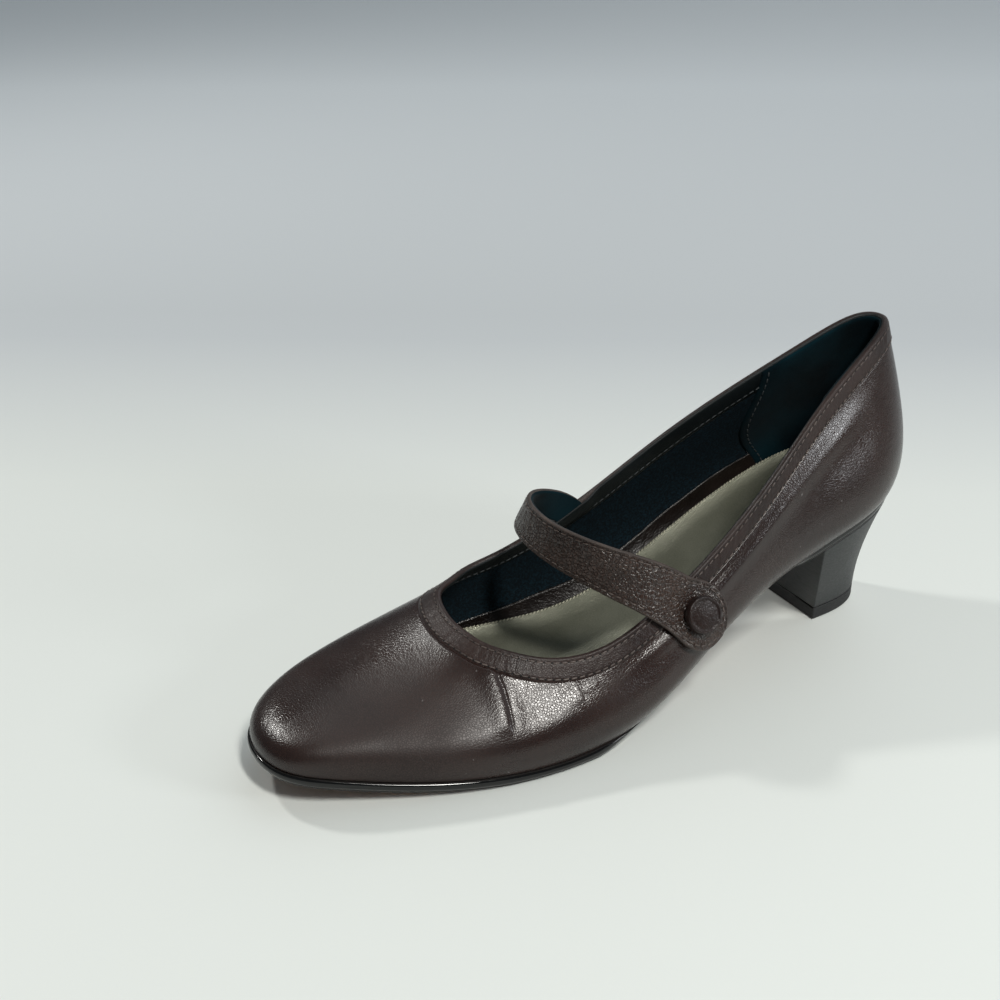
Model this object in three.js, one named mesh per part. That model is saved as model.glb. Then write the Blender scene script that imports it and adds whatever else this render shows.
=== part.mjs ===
import * as THREE from "three";

// Sizes in millimetres. The toe points to -Y, the heel to +Y, the outer side of the left foot to +X.
const shoeLength = 248;
const ballHalf = 40;
const backHeight = 109;
const heelSeat = 53;
const fitGap = 0.3;
const edgeRound = 0.5;

const upperWall = 1.8;
const bandWidth = 8;
const bandStep = 0.4;
const upperSlices = 112;
const upperRows = 9;
const bandRows = 3;
const stepShare = 0.04;
const liningRows = 7;

const soleThickness = 4;
const shankShare = 0.75;
const beadDepth = 2.6;
const beadProud = 1.1;
const stripInset = 1.1;
const stripLedge = 0.1;
const seatInset = 0.4;
const waistBevel = 5;
const soleStations = 44;
// Shares of the length: where the waist's bevel starts and is full, where the shank ends, and the forefoot.
const shankShares = { starts: 0.2, full: 0.3, ends: 0.48, forefoot: 0.62 };
// How much of the side's profile is left at the shank.
const shankProfileShare = 0.35;

const insoleThickness = 2.2;
const insoleInset = 2.5;

const heelTread = { front: 39.5, back: 10.5, half: 15.2 };
const treadPower = 0.7;
const heelHollowPower = 0.9;
const heelBreastAlong = 48;
const heelInset = 0.9;
const heelRings = 12;
const heelStations = 15;
const topPieceHeight = 5;

const strapThickness = 2.2;
const strapRootWidth = 11;
const strapNeckWidth = 18.5;
const strapFlare = 1.3;
const strapEdgeShare = 0.94;
const strapSettleFrom = 0.7;
const tabRadius = 10.5;
const tabAngle = 41;
const strapFreeSteps = 26;
const tabSteps = 14;
const strapColumns = 4;
const tabTipGap = 0.15;

const buttonAlong = 0.444 * shoeLength;
const buttonRise = 0.337 * backHeight;
const buttonRadius = 6.2;
const buttonHeight = 4;
const buttonSides = 36;

// The part's origin is on the floor under the middle of the heel's tread, this far forward of the back point.
const originAlong = (heelTread.front + heelTread.back) / 2;

// One rib of the upper per row, back of the heel to the toe on the outer side, then back on the inner side.
// Along is a share of the shoe's length, across and the reaches of the ball's half width, and rise of the
// back height. Headings and angles are in degrees.
const ribColumns = [
  "footAlong", "footAcross", "topAlong", "topAcross", "topRise",
  "heading", "rootAngle", "rootReach", "topAngle", "topReach",
];
const ribTable = [
  [0.004, 0.00, 0.036, 0.01, 1.000, 90, 60, 0.35, 72, 0.55],
  [0.030, 0.36, 0.056, 0.19, 0.986, 52, 60, 0.35, 74, 0.55],
  [0.089, 0.60, 0.119, 0.31, 0.913, 20, 58, 0.35, 80, 0.50],
  [0.181, 0.66, 0.198, 0.43, 0.812, 4, 55, 0.38, 84, 0.42],
  [0.302, 0.64, 0.302, 0.59, 0.642, -2, 45, 0.42, 86, 0.35],
  [0.423, 0.75, 0.407, 0.69, 0.482, -6, 38, 0.45, 84, 0.30],
  [0.536, 0.94, 0.500, 0.75, 0.376, -10, 50, 0.40, 74, 0.30],
  [0.649, 0.99, 0.577, 0.74, 0.312, -10, 72, 0.35, 60, 0.35],
  [0.750, 0.89, 0.637, 0.63, 0.298, -15, 78, 0.35, 54, 0.50],
  [0.843, 0.69, 0.679, 0.45, 0.312, -30, 82, 0.37, 44, 0.70],
  [0.929, 0.45, 0.706, 0.25, 0.326, -52, 84, 0.37, 35, 0.90],
  [0.988, 0.19, 0.716, 0.08, 0.335, -72, 84, 0.37, 30, 1.00],
  [1.000, -0.07, 0.720, -0.10, 0.339, -90, 84, 0.37, 28, 1.05],
  [0.994, -0.33, 0.718, -0.29, 0.344, -110, 84, 0.37, 28, 1.05],
  [0.970, -0.55, 0.708, -0.49, 0.344, -128, 85, 0.37, 30, 1.00],
  [0.899, -0.70, 0.679, -0.66, 0.338, -150, 78, 0.31, 40, 0.70],
  [0.798, -0.89, 0.641, -0.79, 0.335, -168, 70, 0.28, 50, 0.45],
  [0.681, -0.96, 0.589, -0.82, 0.349, -176, 60, 0.28, 60, 0.37],
  [0.560, -0.76, 0.520, -0.79, 0.404, -180, 50, 0.40, 74, 0.30],
  [0.438, -0.54, 0.431, -0.70, 0.518, -181, 38, 0.50, 84, 0.30],
  [0.317, -0.57, 0.323, -0.59, 0.670, -182, 45, 0.45, 86, 0.35],
  [0.192, -0.60, 0.210, -0.41, 0.821, -184, 55, 0.38, 84, 0.42],
  [0.093, -0.55, 0.129, -0.27, 0.922, -200, 58, 0.35, 80, 0.50],
  [0.032, -0.34, 0.062, -0.15, 0.991, -232, 60, 0.35, 74, 0.55],
];

// Height of the feather line over the floor: share of the length, share of the heel seat's height.
const riseTable = [
  [0, 1], [0.10, 0.89], [0.20, 0.755], [0.30, 0.56], [0.40, 0.355],
  [0.50, 0.165], [0.60, 0.083], [0.72, 0.079], [0.87, 0.145], [1, 0.255],
];

// Middle of the strap from its sewn end inside the collar, over the instep, to the outer side, where the tab
// begins. Across is a share of the ball's half width, along of the shoe's length, up of the back height;
// the lean is where the strap's width points, outward and back.
const strapKnots = [
  { run: -0.10, across: -0.655, along: 0.462, up: 0.393, leanAcross: 0.12, leanBack: 0.80 },
  { run: 0.00, across: -0.655, along: 0.482, up: 0.444, leanAcross: 0.16, leanBack: 0.74 },
  { run: 0.10, across: -0.650, along: 0.512, up: 0.497, leanAcross: 0.22, leanBack: 0.60 },
  { run: 0.20, across: -0.610, along: 0.547, up: 0.534, leanAcross: 0.24, leanBack: 0.48 },
  { run: 0.35, across: -0.390, along: 0.585, up: 0.556, leanAcross: 0.14, leanBack: 0.32 },
  { run: 0.50, across: -0.045, along: 0.590, up: 0.545, leanAcross: 0.12, leanBack: 0.18 },
  { run: 0.65, across: 0.283, along: 0.567, up: 0.517, leanAcross: 0.10, leanBack: 0.21 },
  { run: 0.80, across: 0.570, along: 0.531, up: 0.481, leanAcross: 0.00, leanBack: 0.38 },
  { run: 0.90, across: 0.725, along: 0.502, up: 0.448, leanAcross: -0.18, leanBack: 0.52 },
  { run: 1.00, across: 0.805, along: 0.473, up: 0.398, leanAcross: -0.25, leanBack: 0.62 },
];

// Solves a small set of linear equations by elimination.
function solve(matrix, right) {
  const count = right.length;
  for (let i = 0; i < count; i += 1) {
    for (let r = i + 1; r < count; r += 1) {
      const factor = matrix[r][i] / matrix[i][i];
      for (let c = i; c < count; c += 1) matrix[r][c] -= factor * matrix[i][c];
      right[r] -= factor * right[i];
    }
  }
  for (let i = count - 1; i >= 0; i -= 1) {
    for (let c = i + 1; c < count; c += 1) right[i] -= matrix[i][c] * right[c];
    right[i] /= matrix[i][i];
  }
  return right;
}

// Cubic spline of continuous curvature through the knots; with a period it runs on into itself.
function makeSpline(knots, values, period = 0) {
  const count = knots.length;
  const wrap = (i) => (i + count) % count;
  const spans = knots.map((k, i) => (i + 1 < count ? knots[i + 1] : knots[0] + period) - k);
  const slopes = values.map((v, i) => (values[wrap(i + 1)] - v) / spans[i]);
  const matrix = knots.map(() => new Array(count).fill(0));
  const right = new Array(count).fill(0);
  for (let i = 0; i < count; i += 1) {
    if (!period && (i === 0 || i === count - 1)) {
      matrix[i][i] = 1;
      continue;
    }
    const before = spans[wrap(i - 1)];
    matrix[i][wrap(i - 1)] += before;
    matrix[i][i] += 2 * (before + spans[i]);
    matrix[i][wrap(i + 1)] += spans[i];
    right[i] = 6 * (slopes[i] - slopes[wrap(i - 1)]);
  }
  const bends = solve(matrix, right);
  const last = period ? count - 1 : count - 2;
  return (x) => {
    const place = period ? knots[0] + ((((x - knots[0]) % period) + period) % period) : x;
    let i = last;
    while (i > 0 && knots[i] > place) i -= 1;
    const span = spans[i];
    const toNext = (place - knots[i]) / span;
    const fromThis = 1 - toNext;
    const curve = (fromThis ** 3 - fromThis) * bends[i] + (toNext ** 3 - toNext) * bends[wrap(i + 1)];
    return fromThis * values[i] + toNext * values[wrap(i + 1)] + (curve * span * span) / 6;
  };
}

const smoothStep = (low, high, x) => THREE.MathUtils.smoothstep(x, low, high);
const radians = (degrees) => THREE.MathUtils.degToRad(degrees);

const riseSpline = makeSpline(riseTable.map((row) => row[0]), riseTable.map((row) => row[1]));
const rise = (along) => heelSeat * riseSpline(THREE.MathUtils.clamp(along / shoeLength, 0, 1));

const ribs = ribTable.map((row) => Object.fromEntries(ribColumns.map((name, i) => [name, row[i]])));

// A rib's place round the shoe is its share of the way along the feather line.
const chords = ribs.map((rib, i) => {
  const next = ribs[(i + 1) % ribs.length];
  const along = (next.footAlong - rib.footAlong) * shoeLength;
  const across = (next.footAcross - rib.footAcross) * ballHalf;
  return Math.hypot(along, across);
});
const perimeter = chords.reduce((sum, chord) => sum + chord, 0);
const ribPlaces = chords.map((_, i) => chords.slice(0, i).reduce((sum, chord) => sum + chord, 0) / perimeter);
const toePlace = ribPlaces[ribs.findIndex((rib) => rib.footAlong === 1)];

const turnAt = (place) => 90 - 360 * place;
const ribSplines = Object.fromEntries(
  ribColumns.map((name) => {
    const values = ribs.map((rib, i) => (name === "heading" ? rib.heading - turnAt(ribPlaces[i]) : rib[name]));
    return [name, makeSpline(ribPlaces, values, 1)];
  }),
);

// Foot of the wall at a place round the shoe: x, and mm forward of the back point.
function footAt(place) {
  return {
    across: ribSplines.footAcross(place) * ballHalf,
    along: ribSplines.footAlong(place) * shoeLength,
  };
}

const ribCache = new Map();
function ribAt(place) {
  if (!ribCache.has(place)) {
    const at = (name) => ribSplines[name](place);
    const { across, along } = footAt(place);
    const heading = radians(at("heading") + turnAt(place));
    const outward = new THREE.Vector3(Math.cos(heading), Math.sin(heading), 0);
    const up = new THREE.Vector3(0, 0, 1);
    const foot = new THREE.Vector3(across, originAlong - along, rise(along));
    const top = new THREE.Vector3(
      at("topAcross") * ballHalf,
      originAlong - at("topAlong") * shoeLength,
      at("topRise") * backHeight,
    );
    const rootAngle = radians(at("rootAngle"));
    const topAngle = radians(at("topAngle"));
    const rootReach = at("rootReach") * ballHalf;
    const topReach = at("topReach") * ballHalf;
    const low = foot
      .clone()
      .addScaledVector(outward, Math.cos(rootAngle) * rootReach)
      .addScaledVector(up, Math.sin(rootAngle) * rootReach);
    const high = top
      .clone()
      .addScaledVector(outward, Math.cos(topAngle) * topReach)
      .addScaledVector(up, -Math.sin(topAngle) * topReach);
    ribCache.set(place, new THREE.CubicBezierCurve3(foot, low, high, top));
  }
  return ribCache.get(place);
}

const nudge = 0.001;

// Outer face of the upper: place round the shoe, share of the way from the feather line to the topline.
function outerPoint(place, share) {
  return ribAt(place).getPoint(share);
}

function outerNormal(place, share) {
  const upWall = outerPoint(place, share + nudge).sub(outerPoint(place, share - nudge));
  const round = outerPoint(place + nudge, share).sub(outerPoint(place - nudge, share));
  return upWall.cross(round).normalize();
}

const offsetPoint = (place, share, out) =>
  outerPoint(place, share).addScaledVector(outerNormal(place, share), out);

// Share of the rib at which the collar band begins, measured down from the topline.
function bandShare(place) {
  const steps = 60;
  let length = 0;
  let before = outerPoint(place, 1);
  for (let i = 1; i <= steps; i += 1) {
    const here = outerPoint(place, 1 - i / steps);
    const piece = here.distanceTo(before);
    if (length + piece >= bandWidth) return 1 - (i - 1 + (bandWidth - length) / piece) / steps;
    length += piece;
    before = here;
  }
  return 0;
}

// Joins rings of equal count into a skin; a ring runs back, outer side, toe, inner side.
function skin(rings, { closed = false } = {}) {
  const count = rings[0].length;
  const positions = rings.flat().flatMap((point) => [point.x, point.y, point.z]);
  const faces = [];
  const spans = closed ? rings.length : rings.length - 1;
  for (let k = 0; k < spans; k += 1) {
    const here = k * count;
    const above = ((k + 1) % rings.length) * count;
    for (let i = 0; i < count; i += 1) {
      const next = (i + 1) % count;
      faces.push(here + i, above + i, above + next, here + i, above + next, here + next);
    }
  }
  if (!closed) {
    faces.push(...ladder(0, count, false), ...ladder((rings.length - 1) * count, count, true));
  }
  const geometry = new THREE.BufferGeometry();
  geometry.setAttribute("position", new THREE.Float32BufferAttribute(positions, 3));
  geometry.setIndex(faces);
  geometry.computeVertexNormals();
  return geometry;
}

// Fills a ring with rungs from its outer side to its inner side.
function ladder(first, count, facesUp) {
  const faces = [];
  const add = (a, b, c) => {
    if (a === b || b === c || a === c) return;
    faces.push(...(facesUp ? [a, c, b] : [a, b, c]));
  };
  for (let j = 0; j < Math.floor(count / 2); j += 1) {
    const outerNow = first + j;
    const outerNext = first + j + 1;
    const innerNext = first + ((count - j - 1) % count);
    const innerNow = first + ((count - j) % count);
    add(outerNow, outerNext, innerNext);
    add(outerNow, innerNext, innerNow);
  }
  return faces;
}

// Place round the shoe where the feather line passes a distance from the back, on one side.
function placeAlong(along, outerSide) {
  let back = outerSide ? 0 : 1;
  let front = toePlace;
  for (let i = 0; i < 40; i += 1) {
    const middle = (back + front) / 2;
    if (footAt(middle).along < along) back = middle;
    else front = middle;
  }
  return (back + front) / 2;
}

// Feather line moved outward in plan.
function rimPoint(place, out) {
  const here = footAt(place);
  const before = footAt(place - nudge);
  const after = footAt(place + nudge);
  const run = Math.hypot(after.across - before.across, after.along - before.along);
  const across = here.across + ((after.along - before.along) / run) * out;
  const along = here.along - ((after.across - before.across) / run) * out;
  return { across, along };
}

const atHeight = ({ across, along }, height) => new THREE.Vector3(across, originAlong - along, height);

const backAlong = ribs[0].footAlong * shoeLength;
const rimPlaces = Array.from({ length: 2 * soleStations }, (_, i) => {
  const outerSide = i <= soleStations;
  const step = outerSide ? i : 2 * soleStations - i;
  if (step === 0) return 0;
  if (step === soleStations) return toePlace;
  const share = (1 - Math.cos((Math.PI * step) / soleStations)) / 2;
  return placeAlong(backAlong + share * (shoeLength - backAlong), outerSide);
});

function material(color, roughness, metalness) {
  return new THREE.MeshStandardMaterial({ color, roughness, metalness });
}

function named(name, geometry, surface) {
  const mesh = new THREE.Mesh(geometry, surface);
  mesh.name = name;
  return mesh;
}

function makeUpper() {
  const places = Array.from({ length: upperSlices }, (_, i) => i / upperSlices);
  const bandStart = places.map(bandShare);
  const ring = (share, out) => places.map((place, i) => offsetPoint(place, share(i), out));
  const rings = [];
  for (let k = 0; k <= upperRows; k += 1) rings.push(ring((i) => (bandStart[i] * k) / upperRows, 0));
  for (let k = 0; k <= bandRows; k += 1) {
    rings.push(ring((i) => bandStart[i] + (1 - bandStart[i]) * Math.max(k / bandRows, stepShare), bandStep));
  }
  for (let k = 0; k <= liningRows; k += 1) rings.push(ring(() => 1 - k / liningRows, -upperWall));
  return skin(rings, { closed: true });
}

// The sole's side from the top down: how far out of the rim, and how far below the top.
const soleProfile = [
  { out: -edgeRound, drop: 0 },
  { out: 0, drop: edgeRound },
  { out: 0, drop: beadDepth - edgeRound },
  { out: -edgeRound, drop: beadDepth },
  { out: -stripInset, drop: beadDepth + stripLedge },
  { out: -stripInset, drop: soleThickness - edgeRound },
  { out: -stripInset - edgeRound, drop: soleThickness },
];

const soleTop = (along) => rise(along) - fitGap;
const forefoot = (along) => smoothStep(shankShares.ends, shankShares.forefoot, along / shoeLength);
const soleDepth = (along) => soleThickness * THREE.MathUtils.lerp(shankShare, 1, forefoot(along));
const soleUnder = (along) => Math.max(soleTop(along) - soleDepth(along), 0);

function makeOutsole() {
  const rings = soleProfile.map(({ out, drop }) =>
    rimPlaces.map((place) => {
      const { along } = footAt(place);
      const bevelled = smoothStep(shankShares.starts, shankShares.full, along / shoeLength);
      const waist = bevelled * (1 - forefoot(along));
      const proud = THREE.MathUtils.lerp(-seatInset, beadProud, forefoot(along));
      const step = out * THREE.MathUtils.lerp(shankProfileShare, 1, forefoot(along));
      const bevel = (waist * waistBevel * drop) / soleThickness;
      const spot = rimPoint(place, proud + step - bevel);
      const top = soleTop(spot.along);
      return atHeight(spot, THREE.MathUtils.lerp(top, soleUnder(spot.along), drop / soleThickness));
    }),
  );
  return skin(rings.reverse());
}

function makeInsole() {
  const profile = [
    { inset: insoleInset, lift: 0 },
    { inset: insoleInset, lift: insoleThickness - edgeRound },
    { inset: insoleInset + edgeRound, lift: insoleThickness },
  ];
  const rings = profile.map(({ inset, lift }) =>
    rimPlaces.map((place) => {
      const spot = rimPoint(place, -inset);
      return atHeight(spot, rise(spot.along) + lift);
    }),
  );
  return skin(rings);
}

const treadSpots = Array.from({ length: 2 * heelStations + 1 }, (_, i) => {
  const outerSide = i <= heelStations;
  const step = outerSide ? i : 2 * heelStations + 1 - i;
  const angle = (Math.PI / 2) * (step / heelStations);
  const depth = Math.cos(angle) ** treadPower;
  return { outerSide, step, sine: Math.sin(angle), depth: step === heelStations ? 0 : depth };
});

const treadSpot = ({ outerSide, sine, depth }, inset = 0) => ({
  across: (outerSide ? 1 : -1) * (heelTread.half - inset) * sine,
  along: heelTread.front - inset - (heelTread.front - heelTread.back - 2 * inset) * depth,
});

function seatSpot({ outerSide, step, depth }) {
  const along = heelBreastAlong - (heelBreastAlong - backAlong) * depth;
  return rimPoint(step === 0 ? 0 : placeAlong(along, outerSide), -heelInset);
}

function makeHeel() {
  const foot = topPieceHeight + fitGap;
  const rings = [];
  for (let k = 0; k <= heelRings; k += 1) {
    const share = k / heelRings;
    rings.push(
      treadSpots.map((spot) => {
        const low = treadSpot(spot);
        const high = seatSpot(spot);
        const hollow = share ** (1 + heelHollowPower * spot.depth);
        const top = soleUnder(high.along) - fitGap;
        return atHeight(
          {
            across: THREE.MathUtils.lerp(low.across, high.across, hollow),
            along: THREE.MathUtils.lerp(low.along, high.along, hollow),
          },
          THREE.MathUtils.lerp(foot, top, share),
        );
      }),
    );
  }
  return skin(rings);
}

function makeTopPiece() {
  const profile = [
    { inset: edgeRound, height: 0 },
    { inset: 0, height: edgeRound },
    { inset: 0, height: topPieceHeight },
  ];
  const rings = profile.map(({ inset, height }) =>
    treadSpots.map((spot) => atHeight(treadSpot(spot, inset), height)),
  );
  return skin(rings);
}

const strapSplines = Object.fromEntries(
  ["across", "along", "up", "leanAcross", "leanBack"].map((name) => [
    name,
    makeSpline(strapKnots.map((knot) => knot.run), strapKnots.map((knot) => knot[name])),
  ]),
);

function strapMiddle(run) {
  const at = (name) => strapSplines[name](run);
  return new THREE.Vector3(
    at("across") * ballHalf,
    originAlong - at("along") * shoeLength,
    at("up") * backHeight,
  );
}

// Outer face of the upper's outer side at a distance forward of the back and a height, pushed out.
function outerSidePoint(along, up, out) {
  let place = 0.22;
  let share = 0.75;
  const miss = (a, b) => {
    const point = outerPoint(a, b);
    return { along: originAlong - point.y - along, up: point.z - up };
  };
  for (let i = 0; i < 12; i += 1) {
    const here = miss(place, share);
    const round = miss(place + nudge, share);
    const high = miss(place, share + nudge);
    const a = (round.along - here.along) / nudge;
    const b = (high.along - here.along) / nudge;
    const c = (round.up - here.up) / nudge;
    const d = (high.up - here.up) / nudge;
    const scale = a * d - b * c;
    place -= (d * here.along - b * here.up) / scale;
    share -= (a * here.up - c * here.along) / scale;
  }
  return offsetPoint(place, share, out);
}

const tabOut = bandStep + fitGap;
const tabDown = Math.sin(radians(tabAngle));
const tabBack = Math.cos(radians(tabAngle));
const neckAlong = strapKnots[strapKnots.length - 1].along * shoeLength;
const neckToButton = (neckAlong - buttonAlong) / tabBack;
const tabLength = neckToButton + tabRadius;

// One cross-section of the strap where it stands free.
function freeSection(run) {
  const along = strapMiddle(run + nudge).sub(strapMiddle(run - nudge)).normalize();
  const leanAcross = strapSplines.leanAcross(run);
  const leanBack = strapSplines.leanBack(run);
  const lean = new THREE.Vector3(leanAcross, leanBack, Math.sqrt(1 - leanAcross ** 2 - leanBack ** 2));
  const width = lean.addScaledVector(along, -lean.dot(along)).normalize();
  const outward = along.clone().cross(width);
  const half = THREE.MathUtils.lerp(strapRootWidth, strapNeckWidth, Math.max(run, 0) ** strapFlare) / 2;
  return (side, out) => strapMiddle(run).addScaledVector(width, side * half).addScaledVector(outward, out);
}

// One cross-section of the tab, laid on the upper; distance runs from the neck to the tab's round end.
function tabSection(distance) {
  const past = Math.max(distance - neckToButton, 0);
  const round = Math.sqrt(Math.max(tabRadius ** 2 - past ** 2, 0));
  const half = THREE.MathUtils.lerp(strapNeckWidth / 2, round, smoothStep(0, neckToButton, distance));
  const along = neckAlong - distance * tabBack;
  const up = buttonRise + (neckToButton - distance) * tabDown;
  return (side, out) => {
    const back = side * half * tabDown;
    const rise = side * half * tabBack;
    return outerSidePoint(along - back, up + rise, tabOut + strapThickness / 2 + out);
  };
}

// Ring of a strap section: back edge, inner face, front edge, outer face.
function strapRing(section) {
  const sides = Array.from({ length: strapColumns + 1 }, (_, i) => 1 - (2 * i) / strapColumns);
  const face = (out) => sides.map((side) => section(side * strapEdgeShare, out));
  const half = strapThickness / 2;
  return [section(1, 0), ...face(-half), section(-1, 0), ...face(half).reverse()];
}

function makeStrap() {
  const rings = [];
  const first = strapKnots[0].run;
  const laid = tabSection(0);
  const loose = freeSection(1);
  for (let k = 0; k <= strapFreeSteps; k += 1) {
    const run = first + ((1 - first) * k) / strapFreeSteps;
    const free = freeSection(run);
    const settle = smoothStep(strapSettleFrom, 1, run);
    rings.push(
      strapRing((side, out) => {
        const change = laid(side, out).sub(loose(side, out));
        return free(side, out).addScaledVector(change, settle);
      }),
    );
  }
  for (let k = 1; k <= tabSteps; k += 1) {
    const turn = (Math.PI / 2) * (k / tabSteps);
    rings.push(strapRing(tabSection((tabLength - tabTipGap) * Math.sin(turn))));
  }
  return skin(rings);
}

// The button's side and dome: shares of its radius and its height.
const buttonProfile = [
  [0, 0], [0.87, 0], [1, 0.17], [1, 0.57], [0.96, 0.72], [0.87, 0.80],
  [0.79, 0.79], [0.68, 0.85], [0.42, 0.95], [0, 1],
];

function makeButton() {
  const profile = buttonProfile.map(([out, up]) => new THREE.Vector2(out * buttonRadius, up * buttonHeight));
  const geometry = new THREE.LatheGeometry(profile, buttonSides);
  geometry.deleteAttribute("uv");
  geometry.deleteAttribute("normal");
  const seat = outerSidePoint(buttonAlong, buttonRise, tabOut + strapThickness + fitGap);
  const inside = outerSidePoint(buttonAlong, buttonRise, 0);
  const outward = seat.clone().sub(inside).normalize();
  geometry.applyQuaternion(new THREE.Quaternion().setFromUnitVectors(new THREE.Vector3(0, 1, 0), outward));
  geometry.translate(seat.x, seat.y, seat.z);
  return geometry;
}

const group = new THREE.Group();
group.name = "mary_jane_shoe";
group.add(named("upper", makeUpper(), material(0x3b2723, 0.38, 0)));
group.add(named("outsole", makeOutsole(), material(0x14110f, 0.3, 0)));
group.add(named("insole", makeInsole(), material(0x77766a, 0.42, 0.35)));
group.add(named("heel", makeHeel(), material(0x1d1b1b, 0.6, 0)));
group.add(named("top_piece", makeTopPiece(), material(0x121112, 0.75, 0)));
group.add(named("strap", makeStrap(), material(0x3a2622, 0.42, 0)));
group.add(named("button", makeButton(), material(0x3d2823, 0.36, 0)));

export default group;
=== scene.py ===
import bmesh
import bpy
import numpy as np
from mathutils import Matrix, Vector


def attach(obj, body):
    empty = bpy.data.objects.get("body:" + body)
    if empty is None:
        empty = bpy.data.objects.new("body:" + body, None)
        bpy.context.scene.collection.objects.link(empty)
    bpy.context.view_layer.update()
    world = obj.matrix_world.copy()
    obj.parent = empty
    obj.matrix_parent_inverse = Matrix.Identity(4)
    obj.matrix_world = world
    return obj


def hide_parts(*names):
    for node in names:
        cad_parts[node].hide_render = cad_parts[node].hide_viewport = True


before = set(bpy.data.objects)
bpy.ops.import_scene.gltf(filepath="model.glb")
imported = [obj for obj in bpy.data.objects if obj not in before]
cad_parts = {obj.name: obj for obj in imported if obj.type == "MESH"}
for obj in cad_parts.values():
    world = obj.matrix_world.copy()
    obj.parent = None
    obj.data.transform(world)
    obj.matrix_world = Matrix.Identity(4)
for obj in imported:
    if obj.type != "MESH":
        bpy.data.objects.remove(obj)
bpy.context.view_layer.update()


# Sizes in metres. The toe points to -Y, the heel to +Y, the outer side of the left foot to +X.
shoe = {
    "length": 0.248,
    "ballHalf": 0.040,
    "backHeight": 0.109,
    "heelSeat": 0.053,
    "origin": 0.025,
    "wall": 0.0018,
    "bandWidth": 0.008,
    "bandStep": 0.0004,
    "fitGap": 0.0003,
}

# One rib of the upper per row, back of the heel to the toe on the outer side, then back on the inner side.
# Along is a share of the length, across and the reaches of the ball's half width, rise of the back height.
ribColumns = [
    "footAlong", "footAcross", "topAlong", "topAcross", "topRise",
    "heading", "rootAngle", "rootReach", "topAngle", "topReach",
]
ribTable = np.array([
    [0.004, 0.00, 0.036, 0.01, 1.000, 90, 60, 0.35, 72, 0.55],
    [0.030, 0.36, 0.056, 0.19, 0.986, 52, 60, 0.35, 74, 0.55],
    [0.089, 0.60, 0.119, 0.31, 0.913, 20, 58, 0.35, 80, 0.50],
    [0.181, 0.66, 0.198, 0.43, 0.812, 4, 55, 0.38, 84, 0.42],
    [0.302, 0.64, 0.302, 0.59, 0.642, -2, 45, 0.42, 86, 0.35],
    [0.423, 0.75, 0.407, 0.69, 0.482, -6, 38, 0.45, 84, 0.30],
    [0.536, 0.94, 0.500, 0.75, 0.376, -10, 50, 0.40, 74, 0.30],
    [0.649, 0.99, 0.577, 0.74, 0.312, -10, 72, 0.35, 60, 0.35],
    [0.750, 0.89, 0.637, 0.63, 0.298, -15, 78, 0.35, 54, 0.50],
    [0.843, 0.69, 0.679, 0.45, 0.312, -30, 82, 0.37, 44, 0.70],
    [0.929, 0.45, 0.706, 0.25, 0.326, -52, 84, 0.37, 35, 0.90],
    [0.988, 0.19, 0.716, 0.08, 0.335, -72, 84, 0.37, 30, 1.00],
    [1.000, -0.07, 0.720, -0.10, 0.339, -90, 84, 0.37, 28, 1.05],
    [0.994, -0.33, 0.718, -0.29, 0.344, -110, 84, 0.37, 28, 1.05],
    [0.970, -0.55, 0.708, -0.49, 0.344, -128, 85, 0.37, 30, 1.00],
    [0.899, -0.70, 0.679, -0.66, 0.338, -150, 78, 0.31, 40, 0.70],
    [0.798, -0.89, 0.641, -0.79, 0.335, -168, 70, 0.28, 50, 0.45],
    [0.681, -0.96, 0.589, -0.82, 0.349, -176, 60, 0.28, 60, 0.37],
    [0.560, -0.76, 0.520, -0.79, 0.404, -180, 50, 0.40, 74, 0.30],
    [0.438, -0.54, 0.431, -0.70, 0.518, -181, 38, 0.50, 84, 0.30],
    [0.317, -0.57, 0.323, -0.59, 0.670, -182, 45, 0.45, 86, 0.35],
    [0.192, -0.60, 0.210, -0.41, 0.821, -184, 55, 0.38, 84, 0.42],
    [0.093, -0.55, 0.129, -0.27, 0.922, -200, 58, 0.35, 80, 0.50],
    [0.032, -0.34, 0.062, -0.15, 0.991, -232, 60, 0.35, 74, 0.55],
])

# Height of the feather line over the floor: share of the length, share of the heel seat's height.
riseTable = np.array([
    [0, 1], [0.10, 0.89], [0.20, 0.755], [0.30, 0.56], [0.40, 0.355],
    [0.50, 0.165], [0.60, 0.083], [0.72, 0.079], [0.87, 0.145], [1, 0.255],
])


# 0 below the low value, 1 above the high one, and between them the share s as s * s * (3 - 2 * s).
def smoothStep(low, high, x):
    share = np.clip((x - low) / (high - low), 0, 1)
    return share * share * (3 - 2 * share)


# From a to b by a share.
def mix(a, b, share):
    return a + (b - a) * share


# A smooth hump: 1 at the middle and falling off on both sides over the width.
def bell(x, middle, width):
    return np.exp(-(((x - middle) / width) ** 2))


# A level stretch with soft ends: 0 before the first number, 1 from the second to the third, 0 past the last.
def plateau(x, first, second, third, last):
    return smoothStep(first, second, x) * (1 - smoothStep(third, last, x))


# Vectors divided by their own length.
def unit(vectors):
    return vectors / np.linalg.norm(vectors, axis=-1, keepdims=True)


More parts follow.
